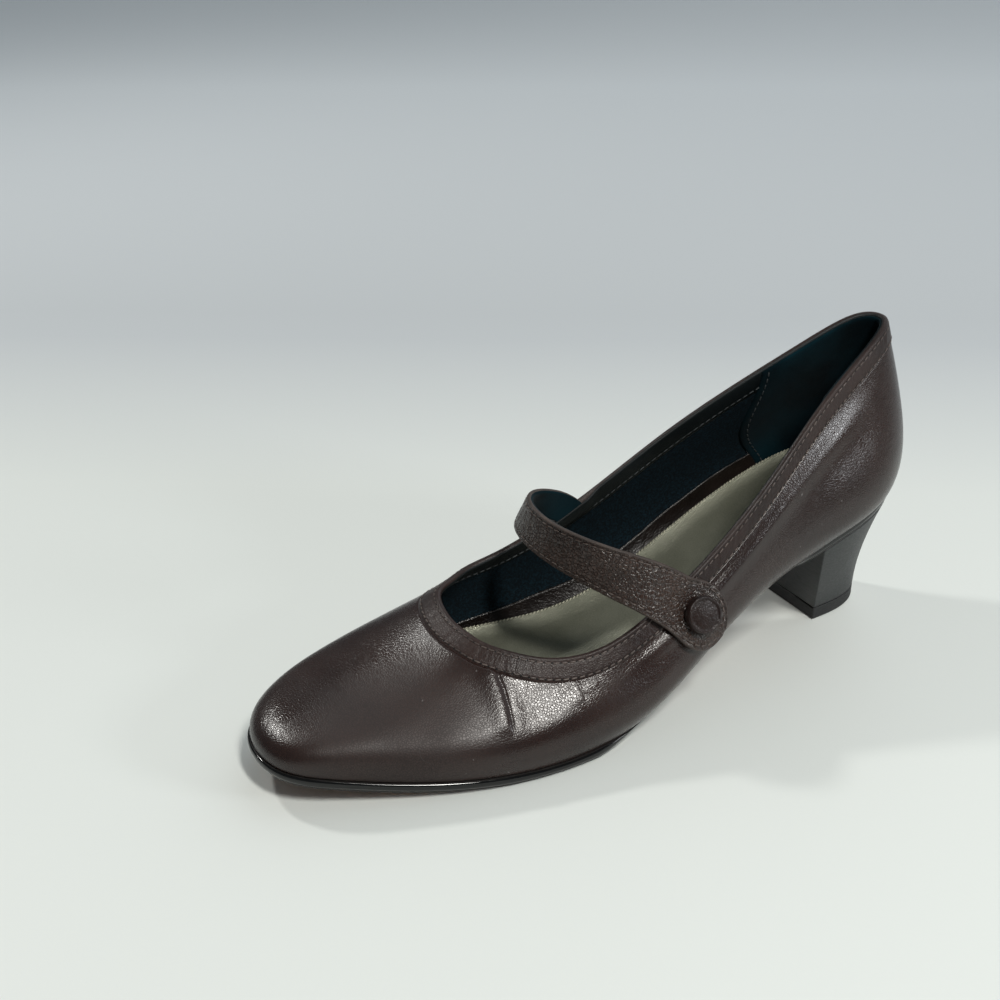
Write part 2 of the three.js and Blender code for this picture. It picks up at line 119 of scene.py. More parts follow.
# Cubic spline of continuous curvature, one column per curve; with a period it runs on into itself.
def makeSpline(knots, values, period=0.0):
    knots = np.asarray(knots, float)
    values = np.asarray(values, float).reshape(len(knots), -1)
    count = len(knots)
    spans = np.append(knots[1:], knots[0] + period) - knots
    before = np.roll(spans, 1)
    slopes = (np.roll(values, -1, axis=0) - values) / spans[:, None]
    index = np.arange(count)
    matrix = np.diag(2 * (before + spans))
    matrix[index, (index - 1) % count] += before
    matrix[index, (index + 1) % count] += spans
    right = 6 * (slopes - np.roll(slopes, 1, axis=0))
    if not period:
        matrix[[0, -1]] = 0
        matrix[0, 0] = matrix[-1, -1] = 1
        right[[0, -1]] = 0
    bends = np.linalg.solve(matrix, right)

    def at(x):
        place = np.asarray(x, float)
        if period:
            place = knots[0] + np.mod(place - knots[0], period)
        i = np.clip(np.searchsorted(knots, place, side="right") - 1, 0, count - (1 if period else 2))
        j = (i + 1) % count
        span = spans[i][..., None]
        toNext = (place - knots[i])[..., None] / span
        fromThis = 1 - toNext
        curve = (fromThis**3 - fromThis) * bends[i] + (toNext**3 - toNext) * bends[j]
        return fromThis * values[i] + toNext * values[j] + curve * span**2 / 6

    return at


riseSpline = makeSpline(riseTable[:, 0], riseTable[:, 1])


# Height of the feather line at a distance forward of the back point.
def rise(along):
    return shoe["heelSeat"] * riseSpline(np.clip(along / shoe["length"], 0, 1))[..., 0]


# A rib's place round the shoe is its share of the way along the feather line, 0 at the back of the heel.
footLine = ribTable[:, :2] * [shoe["length"], shoe["ballHalf"]]
chords = np.linalg.norm(np.roll(footLine, -1, axis=0) - footLine, axis=1)
ribPlaces = np.append(0, np.cumsum(chords)[:-1]) / chords.sum()
toePlace = ribPlaces[ribTable[:, 0].argmax()]
unturned = ribTable - np.outer(90 - 360 * ribPlaces, np.eye(len(ribColumns))[5])
ribSpline = makeSpline(ribPlaces, unturned, 1.0)


# The four points of a rib's curve at each place.
def ribAt(place):
    place = np.asarray(place, float)
    rows = ribSpline(place)
    rib = {name: rows[..., i] for i, name in enumerate(ribColumns)}
    half = shoe["ballHalf"]
    along = rib["footAlong"] * shoe["length"]
    foot = np.stack([rib["footAcross"] * half, shoe["origin"] - along, rise(along)], -1)
    topY = shoe["origin"] - rib["topAlong"] * shoe["length"]
    top = np.stack([rib["topAcross"] * half, topY, rib["topRise"] * shoe["backHeight"]], -1)
    heading = np.radians(rib["heading"] + 90 - 360 * place)

    def handle(angle, reach, upwards):
        flat = np.cos(angle)
        away = np.stack([np.cos(heading) * flat, np.sin(heading) * flat, upwards * np.sin(angle)], -1)
        return half * reach[..., None] * away

    low = foot + handle(np.radians(rib["rootAngle"]), rib["rootReach"], 1)
    high = top + handle(np.radians(rib["topAngle"]), rib["topReach"], -1)
    return foot, low, high, top


# Outer face of the upper: place round the shoe, share of the way from the feather line to the topline.
def wallPoint(place, share):
    foot, low, high, top = ribAt(place)
    s = np.asarray(share, float)[..., None]
    return (1 - s) ** 3 * foot + 3 * (1 - s) ** 2 * s * low + 3 * (1 - s) * s * s * high + s**3 * top


# Outward direction of the wall: its direction up the rib crossed with its direction round the shoe.
def wallNormal(place, share):
    nudge = 0.001
    upWall = wallPoint(place, share + nudge) - wallPoint(place, share - nudge)
    roundWall = wallPoint(place + nudge, share) - wallPoint(place - nudge, share)
    return unit(np.cross(upWall, roundWall))


# The wall's point moved along its outward direction.
def wallOffset(place, share, out):
    return wallPoint(place, share) + wallNormal(place, share) * np.asarray(out)[..., None]


# A smooth line on the wall through knots of place and share, with how far along it each point lies.
def wallLine(knots, count):
    fine = np.linspace(0, 1, count)
    spots = makeSpline(np.linspace(0, 1, len(knots)), knots)(fine)
    return spots[:, 0], spots[:, 1], fine


# Share of the rib where its length, run through by the steps, reaches each given distance: a row per place.
def shareAt(steps, places, distances):
    points = wallPoint(places[:, None], steps[None, :])
    pieces = np.linalg.norm(np.diff(points, axis=1), axis=-1)
    run = np.concatenate([np.zeros((len(places), 1)), np.cumsum(pieces, axis=1)], axis=1)
    distances = np.broadcast_to(distances, (len(places), np.shape(distances)[-1]))
    i = np.clip((run[:, None, :] < distances[:, :, None]).sum(-1) - 1, 0, len(steps) - 2)
    start = np.take_along_axis(run, i, axis=1)
    end = np.take_along_axis(run, i + 1, axis=1)
    return steps[i] + (steps[i + 1] - steps[i]) * (distances - start) / (end - start)


# Share of the rib at distances down the wall from the topline, a column per depth.
def shareBelow(places, depths):
    return shareAt(np.linspace(1, 0, 81), places, depths)


# Share of the rib at one height above the foot of the wall for each place.
def shareAbove(places, heights):
    return shareAt(np.linspace(0, 1, 81), places, np.asarray(heights)[:, None])[:, 0]


# Places round the shoe, closer together over the creased part of the vamp.
def placesRound(count, closer=0.0):
    fine = np.linspace(0, 1, 4001)
    density = 1 + closer * plateau(fine, 0.29, 0.33, 0.43, 0.47)
    run = np.append(0, np.cumsum((density[1:] + density[:-1]) / 2))
    return np.interp(np.arange(count) / count, run / run[-1], fine)


# Length along a row of points, starting at 0.
def runLength(points):
    return np.append(0, np.cumsum(np.linalg.norm(np.diff(points, axis=0), axis=1)))


# A few crossed sine waves of seeded direction and phase; the sum stays within about -1 to 1.
def softWaves(u, v, seed):
    random = np.random.default_rng(seed)
    total = 0
    for octave in range(3):
        for turn, phase in random.uniform(0, 2 * np.pi, (4, 2)):
            total = total + np.sin((u * np.cos(turn) + v * np.sin(turn)) * 2**octave + phase) / 2**octave / 4
    return total


# Makes an object from points and four-cornered faces. Its faces are turned to point outwards by its volume.
def makePiece(name, points, faces, materials, faceMaterials=None, run=None, sharp=None):
    points = points.reshape(-1, 3)
    a, b, c, d = (points[faces[:, i]] for i in range(4))
    volume = (np.cross(b - a, c - a) * (a + b + c)).sum() + (np.cross(c - a, d - a) * (a + c + d)).sum()
    if volume < 0:
        faces = faces[:, ::-1]
    mesh = bpy.data.meshes.new(name)
    mesh.from_pydata(points.tolist(), [], faces.tolist())
    for material in materials:
        mesh.materials.append(material)
    if faceMaterials is not None:
        mesh.polygons.foreach_set("material_index", faceMaterials.astype(np.int32).ravel())
    if run is not None:
        layer = mesh.attributes.new("run", "FLOAT_VECTOR", "POINT")
        layer.data.foreach_set("vector", run.astype(np.float32).ravel())
    work = bmesh.new()
    work.from_mesh(mesh)
    bmesh.ops.remove_doubles(work, verts=work.verts, dist=1e-6)
    work.to_mesh(mesh)
    work.free()
    mesh.shade_smooth()
    if sharp:
        mesh.set_sharp_from_angle(angle=np.radians(sharp))
    piece = bpy.data.objects.new(name, mesh)
    bpy.context.collection.objects.link(piece)
    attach(piece, "root")
    return piece


# Skin over a grid of points: rows of sections, each section a closed loop. The rows close into a ring, or
# end in sections that have shrunk to a line or a point.
def loopSkin(name, grid, materials, ring=False, loopMaterials=None, run=None, sharp=None):
    rows, columns = grid.shape[:2]
    i, j = np.meshgrid(np.arange(rows if ring else rows - 1), np.arange(columns), indexing="ij")
    iNext = (i + 1) % rows
    jNext = (j + 1) % columns
    corners = [i * columns + j, i * columns + jNext, iNext * columns + jNext, iNext * columns + j]
    faces = np.stack(corners, -1).reshape(-1, 4)
    faceMaterials = None
    if loopMaterials is not None:
        faceMaterials = np.broadcast_to(loopMaterials, i.shape).reshape(-1)
    return makePiece(name, grid, faces, materials, faceMaterials, run, sharp)


# A stack of sections with both ends drawn to the middle of the end section.
def closeEnds(sections):
    first = sections[:1].mean(1, keepdims=True) + 0 * sections[:1]
    last = sections[-1:].mean(1, keepdims=True) + 0 * sections[-1:]
    return np.concatenate([first, sections, last])


# Oval rings round a path, reaching as far as the side and up vectors on either side of each point.
def ringsRound(path, side, up, count):
    turn = np.linspace(0, 2 * np.pi, count, endpoint=False)[None, :, None]
    return path[:, None] + side[:, None] * np.cos(turn) + up[:, None] * np.sin(turn)


# One thread stitch: a rounded bar of unit length along X, lying on the XY plane's origin.
def stitchForm():
    around = 6
    along = np.array([-0.5, -0.44, -0.3, 0, 0.3, 0.44, 0.5])
    thick = np.array([0.15, 0.7, 1, 1, 1, 0.7, 0.15])
    turn = np.linspace(0, 2 * np.pi, around, endpoint=False)
    x = np.broadcast_to(along[:, None], (len(along), around))
    form = np.stack([x, thick[:, None] * np.cos(turn), thick[:, None] * np.sin(turn)], -1)
    i, j = np.meshgrid(np.arange(len(along) - 1), np.arange(around), indexing="ij")
    k = (j + 1) % around
    faces = np.stack([i * around + j, i * around + k, (i + 1) * around + k, (i + 1) * around + j], -1)
    ends = np.array([[0, 1, 2, 3], [0, 3, 4, 5]])
    last = (len(along) - 1) * around
    return form.reshape(-1, 3), np.concatenate([faces.reshape(-1, 4), ends[:, ::-1], ends + last])


# A row of stitches along a path that lies on a surface, each half sunk in it.
def stitchRow(name, path, normals, thread, material, ring=False):
    if ring:
        path = np.concatenate([path, path[:1]])
        normals = np.concatenate([normals, normals[:1]])
    run = runLength(path)
    count = int(run[-1] / thread["pitch"])
    middle = (np.arange(count) + 0.5) * run[-1] / count
    half = thread["length"] / 2
    ahead, behind, centre, normal = (
        np.stack([np.interp(at, run, source[:, k]) for k in range(3)], -1)
        for at, source in ((middle + half, path), (middle - half, path), (middle, path), (middle, normals)))
    along = unit(ahead - behind)
    normal = unit(normal - along * (normal * along).sum(-1, keepdims=True))
    side = np.cross(normal, along)
    slant = thread.get("slant", 0)
    along, side = along * np.cos(slant) + side * np.sin(slant), side * np.cos(slant) - along * np.sin(slant)
    form, faces = stitchForm()
    size = np.array([thread["length"], thread["radius"], thread["radius"] * 0.7])
    axes = np.stack([along, side, normal], 1)
    points = centre[:, None] + np.einsum("pk,ckx->cpx", form * size, axes)
    points += normal[:, None] * thread.get("lift", 0.00005)
    shifted = faces[None] + (np.arange(count) * len(form))[:, None, None]
    return makePiece(name, points, shifted.reshape(-1, 4), [material])


# Distance of points from a path, the share of the path's length at the nearest place, and how far each
# point lies in front of it, towards the toe.
def nearPath(points, path):
    start = path[:-1]
    step = np.diff(path, axis=0)
    run = runLength(path)
    best = np.full(len(points), 1e9)
    share = np.zeros(len(points))
    toeward = np.zeros(len(points))
    for k in range(len(start)):
        away = points - start[k]
        t = np.clip((away @ step[k]) / (step[k] @ step[k]), 0, 1)
        distance = np.linalg.norm(away - t[:, None] * step[k], axis=1)
        nearer = distance < best
        best = np.where(nearer, distance, best)
        share = np.where(nearer, (run[k] + t * (run[k + 1] - run[k])) / run[-1], share)
        toeward = np.where(nearer, t * step[k, 1] - away[:, 1], toeward)
    return best, share, toeward


# Links a node's inputs to sockets, or sets them to plain values.
def setInputs(tree, node, inputs):
    for key, value in inputs.items():
        if isinstance(value, bpy.types.NodeSocket):
            tree.links.new(value, node.inputs[key])
        else:
            node.inputs[key].default_value = value


def addNode(tree, kind, inputs=None, **settings):
    node = tree.nodes.new("ShaderNode" + kind)
    for key, value in settings.items():
        setattr(node, key, value)
    setInputs(tree, node, inputs or {})
    return node


# An empty material with its shader and output.
def newMaterial(name):
    material = bpy.data.materials.new(name)
    material.use_nodes = True
    tree = material.node_tree
    tree.nodes.clear()
    shader = tree.nodes.new("ShaderNodeBsdfPrincipled")
    output = tree.nodes.new("ShaderNodeOutputMaterial")
    tree.links.new(shader.outputs["BSDF"], output.inputs["Surface"])
    return material, tree, shader


def mathNode(tree, operation, a, b=0.0):
    return addNode(tree, "Math", {0: a, 1: b}, operation=operation).outputs[0]


def vectorNode(tree, operation, vector, other):
    second = "Scale" if operation == "SCALE" else 1
    node = addNode(tree, "VectorMath", {0: vector, second: other}, operation=operation)
    return node.outputs["Value" if operation == "DISTANCE" else "Vector"]


# Sum of values, each times its own factor.
def weightedSum(tree, *parts):
    total = None
    for value, factor in parts:
        part = mathNode(tree, "MULTIPLY", value, factor)
        total = part if total is None else mathNode(tree, "ADD", total, part)
    return total


# Raises the surface's shading by patterns, each times its own depth in metres.
def bumpUp(tree, shader, *layers):
    bump = addNode(tree, "Bump", {"Height": weightedSum(tree, *layers), "Distance": 1.0, "Strength": 1.0})
    tree.links.new(bump.outputs["Normal"], shader.inputs["Normal"])


# Goes from one value or colour to another as a socket's value passes between two limits.
def blendBetween(tree, value, low, high, first, second):
    if isinstance(first, (int, float)):
        inputs = {"Value": value, "From Min": low, "From Max": high, "To Min": first, "To Max": second}
        return addNode(tree, "MapRange", inputs).outputs["Result"]
    share = addNode(tree, "MapRange", {"Value": value, "From Min": low, "From Max": high}).outputs["Result"]
    inputs = {0: share, 6: (*first, 1), 7: (*second, 1)}
    return addNode(tree, "Mix", inputs, data_type="RGBA").outputs[2]


def noiseAt(tree, place, scale, detail=3.0, roughness=0.5):
    inputs = {"Vector": place, "Scale": scale, "Detail": detail, "Roughness": roughness}
    return addNode(tree, "TexNoise", inputs).outputs["Fac"]


# Cells between fine valleys, as leather grain has: 0 in the valleys, 1 on the cells' tops.
def grainAt(tree, place, scale, edge):
    warp = addNode(tree, "TexNoise", {"Vector": place, "Scale": scale * 0.8, "Detail": 2.0}).outputs["Color"]
    moved = vectorNode(tree, "ADD", place, vectorNode(tree, "SCALE", warp, 0.6 / scale))
    cells = addNode(tree, "TexVoronoi", {"Vector": moved, "Scale": scale}, feature="DISTANCE_TO_EDGE")
    return blendBetween(tree, cells.outputs["Distance"], 0.0, edge, 0.0, 1.0)


# Leather: mottled colour, fine cell grain, pores, soft wrinkles, and a finish rubbed glossier in places.
def leather(name, look):
    material, tree, shader = newMaterial(name)
    place = addNode(tree, "TexCoord").outputs["Object"]
    mottle = noiseAt(tree, place, look["mottle"], 4.0)
    grain = grainAt(tree, place, look["grain"], 0.22)
    valley = blendBetween(tree, grain, 0.0, 1.0, look.get("valley", 0.75), 1.0)
    colour = blendBetween(tree, mottle, 0.35, 0.65, look["dark"], look["light"])
    colour = vectorNode(tree, "SCALE", colour, valley)
    if look.get("specks"):
        # Rare pale specks of dust and rubbed grain.
        dust = blendBetween(tree, noiseAt(tree, place, 420.0, 2.0), 0.74, 0.80, 0.0, look["specks"])
        colour = vectorNode(tree, "ADD", colour, dust)
    if look.get("scratches"):
        # Hairline scratches: thin level lines of a soft noise, kept to a few patches.
        level = mathNode(tree, "SUBTRACT", noiseAt(tree, place, 45.0, 1.0), 0.5)
        line = blendBetween(tree, mathNode(tree, "ABSOLUTE", level), 0.0, 0.0035, 1.0, 0.0)
        patch = blendBetween(tree, noiseAt(tree, place, 31.0, 1.0), 0.60, 0.66, 0.0, look["scratches"])
        colour = vectorNode(tree, "ADD", colour, mathNode(tree, "MULTIPLY", line, patch))
    rub = noiseAt(tree, place, 60.0, 3.0)
    dull = blendBetween(tree, grain, 0.0, 1.0, 0.08, 0.0)
    rough = mathNode(tree, "ADD", blendBetween(tree, rub, 0.3, 0.7, *look["rough"]), dull)
    if look.get("matt"):
        # Round one spot the finish is less polished.
        spot, near, far, more = look["matt"]
        away = vectorNode(tree, "DISTANCE", place, spot)
        rough = mathNode(tree, "ADD", rough, blendBetween(tree, away, near, far, more, 0.0))
    pores = noiseAt(tree, place, look["grain"] * 2.6, 2.0)
    wrinkle = noiseAt(tree, place, look.get("wrinkle", 260.0), 3.0, 0.6)
    layers = [(grain, look["grainDepth"]), (pores, look["grainDepth"] * 0.6), (wrinkle, look["wrinkleDepth"])]
    if look.get("folds"):
        # Fine folds across a strip: noise drawn out across it, from the strip's own run coordinates.
        run = addNode(tree, "Attribute", attribute_name="run").outputs["Vector"]
        drawn = vectorNode(tree, "MULTIPLY", run, look["folds"])
        folds = addNode(tree, "TexNoise", {"Vector": drawn, "Scale": 1.0, "Detail": 3.0, "Distortion": 0.5})
        layers.append((blendBetween(tree, folds.outputs["Fac"], 0.38, 0.6, 0.0, 1.0), look["foldDepth"]))
    bumpUp(tree, shader, *layers)
    setInputs(tree, shader, {
        "Base Color": colour, "Roughness": rough, "Specular IOR Level": look.get("specular", 0.5),
        "Metallic": look.get("metal", 0.0), "Sheen Weight": look.get("sheen", 0.0), "Sheen Roughness": 0.4,
    })
    return material


# Woven textile: two crossed wave sets in the strip's run coordinates, with stray lighter fibres.
def textile(name, look):
    material, tree, shader = newMaterial(name)
    run = addNode(tree, "Attribute", attribute_name="run").outputs["Vector"]
    parts = addNode(tree, "SeparateXYZ", {0: run}).outputs
    turns = [mathNode(tree, "MULTIPLY", parts[axis], look["threads"]) for axis in "XY"]
    warp, weft = (mathNode(tree, "SINE", turn) for turn in turns)
    fleck = noiseAt(tree, addNode(tree, "TexCoord").outputs["Object"], 1400.0, 2.0)
    bumpUp(tree, shader, (mathNode(tree, "MULTIPLY", warp, weft), 0.00005), (fleck, 0.00012))
    setInputs(tree, shader, {
        "Base Color": blendBetween(tree, fleck, 0.42, 0.68, look["dark"], look["light"]),
        "Roughness": look["rough"], "Specular IOR Level": look["specular"], "Sheen Weight": look["sheen"],
        "Sheen Tint": (*look["light"], 1),
    })
    return material


# Moulded or painted surface: slight unevenness of colour and gloss, and fine scuffs.
def moulded(name, look):
    material, tree, shader = newMaterial(name)
    place = addNode(tree, "TexCoord").outputs["Object"]
    cloud = noiseAt(tree, place, look.get("cloud", 90.0), 4.0)
    scuffs = noiseAt(tree, vectorNode(tree, "MULTIPLY", place, (300, 900, 2500)), 1.0, 3.0)
    fine = noiseAt(tree, place, look.get("fine", 1200.0), 2.0)
    bumpUp(tree, shader, (fine, look["depth"]), (cloud, look["depth"] * 4))
    setInputs(tree, shader, {
        "Base Color": blendBetween(tree, cloud, 0.35, 0.7, look["dark"], look["light"]),
        "Roughness": blendBetween(tree, scuffs, 0.35, 0.7, *look["rough"]),
        "Specular IOR Level": look.get("specular", 0.5),
    })
    return material


# The finish of each material. Colours are linear, depths are in metres, and mottle, grain, wrinkle, cloud and
# fine are the scales of patterns per metre. Matt gives a spot, two radii and how much rougher it is there.
brown = {"dark": (0.0170, 0.0077, 0.0060), "light": (0.0290, 0.0140, 0.0108)}
looks = {
    "upper": {**brown, "mottle": 28.0, "grain": 1250.0, "grainDepth": 0.000021, "wrinkleDepth": 0.00007,
              "rough": (0.17, 0.27), "valley": 0.58, "specks": 0.12, "scratches": 0.022,
              "matt": ((0.021, -0.188, 0.021), 0.016, 0.034, 0.30)},
    "band": {**brown, "mottle": 60.0, "grain": 1150.0, "grainDepth": 0.000035, "wrinkleDepth": 0.00007,
             "rough": (0.30, 0.42), "folds": (900.0, 240.0, 1.0), "foldDepth": 0.00002, "wrinkle": 320.0,
             "valley": 0.62, "specular": 0.35},
    "strap": {"dark": (0.025, 0.0135, 0.0105), "light": (0.050, 0.0285, 0.0215), "mottle": 60.0,
              "grain": 850.0, "grainDepth": 0.00016, "wrinkleDepth": 0.00010, "rough": (0.18, 0.30),
              "folds": (700.0, 240.0, 1.0), "foldDepth": 0.00004, "valley": 0.42, "wrinkle": 420.0},
    "strapEdge": {"dark": (0.030, 0.019, 0.015), "light": (0.062, 0.043, 0.034), "mottle": 200.0,
                  "grain": 1500.0, "grainDepth": 0.00004, "wrinkleDepth": 0.0001, "rough": (0.45, 0.6)},
    "button": {"dark": (0.012, 0.006, 0.005), "light": (0.022, 0.0115, 0.0095), "mottle": 90.0,
               "grain": 1000.0, "grainDepth": 0.00004, "wrinkleDepth": 0.00006, "rough": (0.26, 0.36),
               "specular": 0.3, "valley": 0.6},
    "innerBand": {"dark": (0.0055, 0.0036, 0.0030), "light": (0.0120, 0.0074, 0.0060), "mottle": 60.0,
                  "grain": 900.0, "grainDepth": 0.00004, "wrinkleDepth": 0.00035, "wrinkle": 220.0,
                  "rough": (0.24, 0.36), "specular": 0.3},
    "facing": {"dark": (0.0018, 0.0040, 0.0050), "light": (0.0050, 0.0085, 0.0100), "mottle": 80.0,
               "grain": 1300.0, "grainDepth": 0.00004, "wrinkleDepth": 0.0001, "rough": (0.42, 0.55),
               "specular": 0.35},
    "suede": {"dark": (0.0006, 0.0058, 0.0085), "light": (0.0025, 0.0200, 0.0280), "mottle": 50.0,
              "grain": 2600.0, "grainDepth": 0.00003, "wrinkleDepth": 0.0001, "rough": (0.8, 0.95),
              "sheen": 0.05, "specular": 0.08},
    "sock": {"dark": (0.20, 0.205, 0.155), "light": (0.33, 0.335, 0.265), "mottle": 24.0, "grain": 1900.0,
             "grainDepth": 0.00005, "wrinkleDepth": 0.00008, "rough": (0.34, 0.46), "metal": 0.55,
             "wrinkle": 150.0, "valley": 0.85, "scratches": 0.10},
    "underside": {"dark": (0.16, 0.075, 0.042), "light": (0.27, 0.14, 0.085), "mottle": 40.0,
                  "grain": 1300.0, "grainDepth": 0.00003, "wrinkleDepth": 0.0001, "rough": (0.45, 0.6)},
    "textile": {"dark": (0.0006, 0.0040, 0.0068), "light": (0.0045, 0.0175, 0.027), "threads": 9000.0,
                "rough": 0.9, "sheen": 0.12, "specular": 0.2},
    "bead": {"dark": (0.0015, 0.0015, 0.0015), "light": (0.003, 0.0028, 0.0028), "rough": (0.04, 0.08),
             "depth": 0.000004},
    "strip": {"dark": (0.007, 0.006, 0.0055), "light": (0.014, 0.012, 0.011), "rough": (0.4, 0.6),
              "depth": 0.00002},
    "heel": {"dark": (0.0062, 0.0077, 0.0085), "light": (0.0115, 0.0136, 0.0148), "rough": (0.42, 0.55),
             "depth": 0.00003, "cloud": 50.0},
    "topPiece": {"dark": (0.006, 0.006, 0.0065), "light": (0.012, 0.012, 0.013), "rough": (0.6, 0.8),
                 "depth": 0.00006},
    "thread": {"dark": (0.045, 0.032, 0.027), "light": (0.12, 0.092, 0.080), "rough": (0.35, 0.5),
               "depth": 0.00001, "fine": 4000.0},
    "darkThread": {"dark": (0.03, 0.035, 0.037), "light": (0.075, 0.085, 0.09), "rough": (0.5, 0.7),
                   "depth": 0.00001, "fine": 4000.0},
    "sockThread": {"dark": (0.34, 0.33, 0.25), "light": (0.62, 0.60, 0.47), "rough": (0.35, 0.5),
                   "depth": 0.00001, "fine": 4000.0},
    "pinhole": {"dark": (0.002, 0.0015, 0.0015), "light": (0.004, 0.003, 0.003), "rough": (0.8, 0.9),
                "depth": 0.00001},
}
surface = {}
for name, look in looks.items():
    kind = leather if "grain" in look else textile if "threads" in look else moulded
    surface[name] = kind(name, look)
print("materials made")


# The camera stands where the photo's stood: degrees round from -Y and up, metres from its target.
camera = {"azimuth": 60.16, "elevation": 28.27, "distance": 0.4408, "roll": -0.88, "lens": 46.8,
          "target": (-0.0304, -0.1206, 0.0595)}


# The camera turned and lifted round its target, and rolled about its line of sight.
def setCamera(camera):
    turn = np.radians(camera["azimuth"])
    lift = np.radians(camera["elevation"])
    back = Vector((np.sin(turn) * np.cos(lift), -np.cos(turn) * np.cos(lift), np.sin(lift)))
    right = (-back).cross(Vector((0, 0, 1))).normalized()
    up = back.cross(right)
    spin = Matrix.Rotation(np.radians(camera["roll"]), 3, back)
    axes = Matrix((spin @ right, spin @ up, back)).transposed()
    data = bpy.data.cameras.new("camera")
    data.lens = camera["lens"]
    data.sensor_width = 36
    data.clip_start = 0.01
    holder = bpy.data.objects.new("camera", data)
    place = Vector(camera["target"]) + back * camera["distance"]
    holder.matrix_world = Matrix.Translation(place) @ axes.to_4x4()
    bpy.context.collection.objects.link(holder)
    bpy.context.scene.camera = holder


# Oblong lamps, each aimed at a spot, and a wide soft sky light from a direction, filling an angle in degrees.
lamps = [
    {"name": "main", "place": (0.71, -0.13, 1.10), "aim": (0, -0.15, 0.02), "wide": 0.12, "tall": 0.30,
     "power": 11.0, "colour": (1.0, 0.98, 0.93)},
    {"name": "toeLamp", "place": (-0.84, -0.48, 0.89), "aim": (0, -0.2, 0.02), "wide": 0.10, "tall": 0.10,
     "power": 4.2, "colour": (1.0, 0.99, 0.95)},
    {"name": "side", "place": (0.98, 0.75, 0.52), "aim": (0.03, 0.01, 0.07), "wide": 0.30, "tall": 0.20,
     "power": 4.4, "colour": (0.95, 0.98, 1.0)},
]
sky = {"from": (-0.25, 0.75, 0.6), "power": 0.77, "angle": 75, "colour": (0.92, 0.97, 1.0)}
room = {"colour": (0.82, 0.92, 0.98), "strength": 0.14}


# A light that stands at a place with its back to a direction.
def addLight(name, kind, power, colour, place, backwards):
    data = bpy.data.lights.new(name, kind)
    data.energy = power
    data.color = colour
    light = bpy.data.objects.new(name, data)
    turn = backwards.to_track_quat("Z", "Y").to_matrix().to_4x4()
    light.matrix_world = Matrix.Translation(place) @ turn
    bpy.context.collection.objects.link(light)
    return data


def lightRoom():
    for lamp in lamps:
        place = Vector(lamp["place"])
        backwards = place - Vector(lamp["aim"])
        data = addLight(lamp["name"], "AREA", lamp["power"], lamp["colour"], place, backwards)
        data.shape = "RECTANGLE"
        data.size = lamp["wide"]
        data.size_y = lamp["tall"]
    data = addLight("sky", "SUN", sky["power"], sky["colour"], Vector((0, 0, 0)), Vector(sky["from"]))
    data.angle = np.radians(sky["angle"])
    world = bpy.data.worlds.new("room")
    world.use_nodes = True
    background = world.node_tree.nodes["Background"]
    background.inputs["Color"].default_value = (*room["colour"], 1)
    background.inputs["Strength"].default_value = room["strength"]
    bpy.context.scene.world = world


# Distances in metres from the frame's origin: turns, and pales as painted light, away from the camera;
# towards it darkens as painted shade.
ground = {"half": 3.0, "front": (0.72, 0.75, 0.725), "back": (0.57, 0.60, 0.62), "turns": (0.08, 0.26),
          "pales": (0.30, 1.0), "paler": 1.6, "falls": (0.27, 0.75), "dark": 0.3}


# The floor is near white and turns to a cooler, darker grey past a line behind the shoe.
def makeFloor():
    half = ground["half"]
    material, tree, shader = newMaterial("floor")
    place = addNode(tree, "TexCoord").outputs["Object"]
    parts = addNode(tree, "SeparateXYZ", {0: place}).outputs
    behind = weightedSum(tree, (parts["Y"], 0.55), (parts["X"], -0.83))
    colour = blendBetween(tree, behind, *ground["turns"], ground["front"], ground["back"])
    # Farther off it grows paler, to make up for the lamps' falling off.
    paler = blendBetween(tree, behind, *ground["pales"], 1.0, ground["paler"])
    # Out of the camera's view, behind it, the floor's colour darkens: painted shade for the dark of the room.
    nearer = weightedSum(tree, (parts["X"], 0.867), (parts["Y"], -0.498))
    roomShade = blendBetween(tree, nearer, *ground["falls"], 1.0, ground["dark"])
    colour = vectorNode(tree, "SCALE", vectorNode(tree, "SCALE", colour, paler), roomShade)
    fine = noiseAt(tree, place, 700.0, 3.0)
    bump = addNode(tree, "Bump", {"Height": fine, "Distance": 0.00008, "Strength": 0.5})
    setInputs(tree, shader, {"Base Color": colour, "Normal": bump.outputs["Normal"], "Roughness": 0.55})
    mesh = bpy.data.meshes.new("floor")
    corners = [(-half, -half, 0), (half, -half, 0), (half, half, 0), (-half, half, 0)]
    mesh.from_pydata(corners, [], [(0, 1, 2, 3)])
    mesh.materials.append(material)
    floor = bpy.data.objects.new("floor", mesh)
    bpy.context.collection.objects.link(floor)


setCamera(camera)
makeFloor()
lightRoom()
bpy.context.scene.view_settings.view_transform = "Standard"
print("stage set")


# The outer leather. Its top edge is tucked under the band, and its foot drops a little on the inside.
upper = {
    "columns": 720, "rows": 92, "closer": 2.2, "thick": 0.001, "backRows": 30,
    "tuck": 0.0004, "drop": 0.00026, "sway": 0.00012, "roll": 0.0010, "rollAt": 0.15, "rollWidth": 0.10,
}
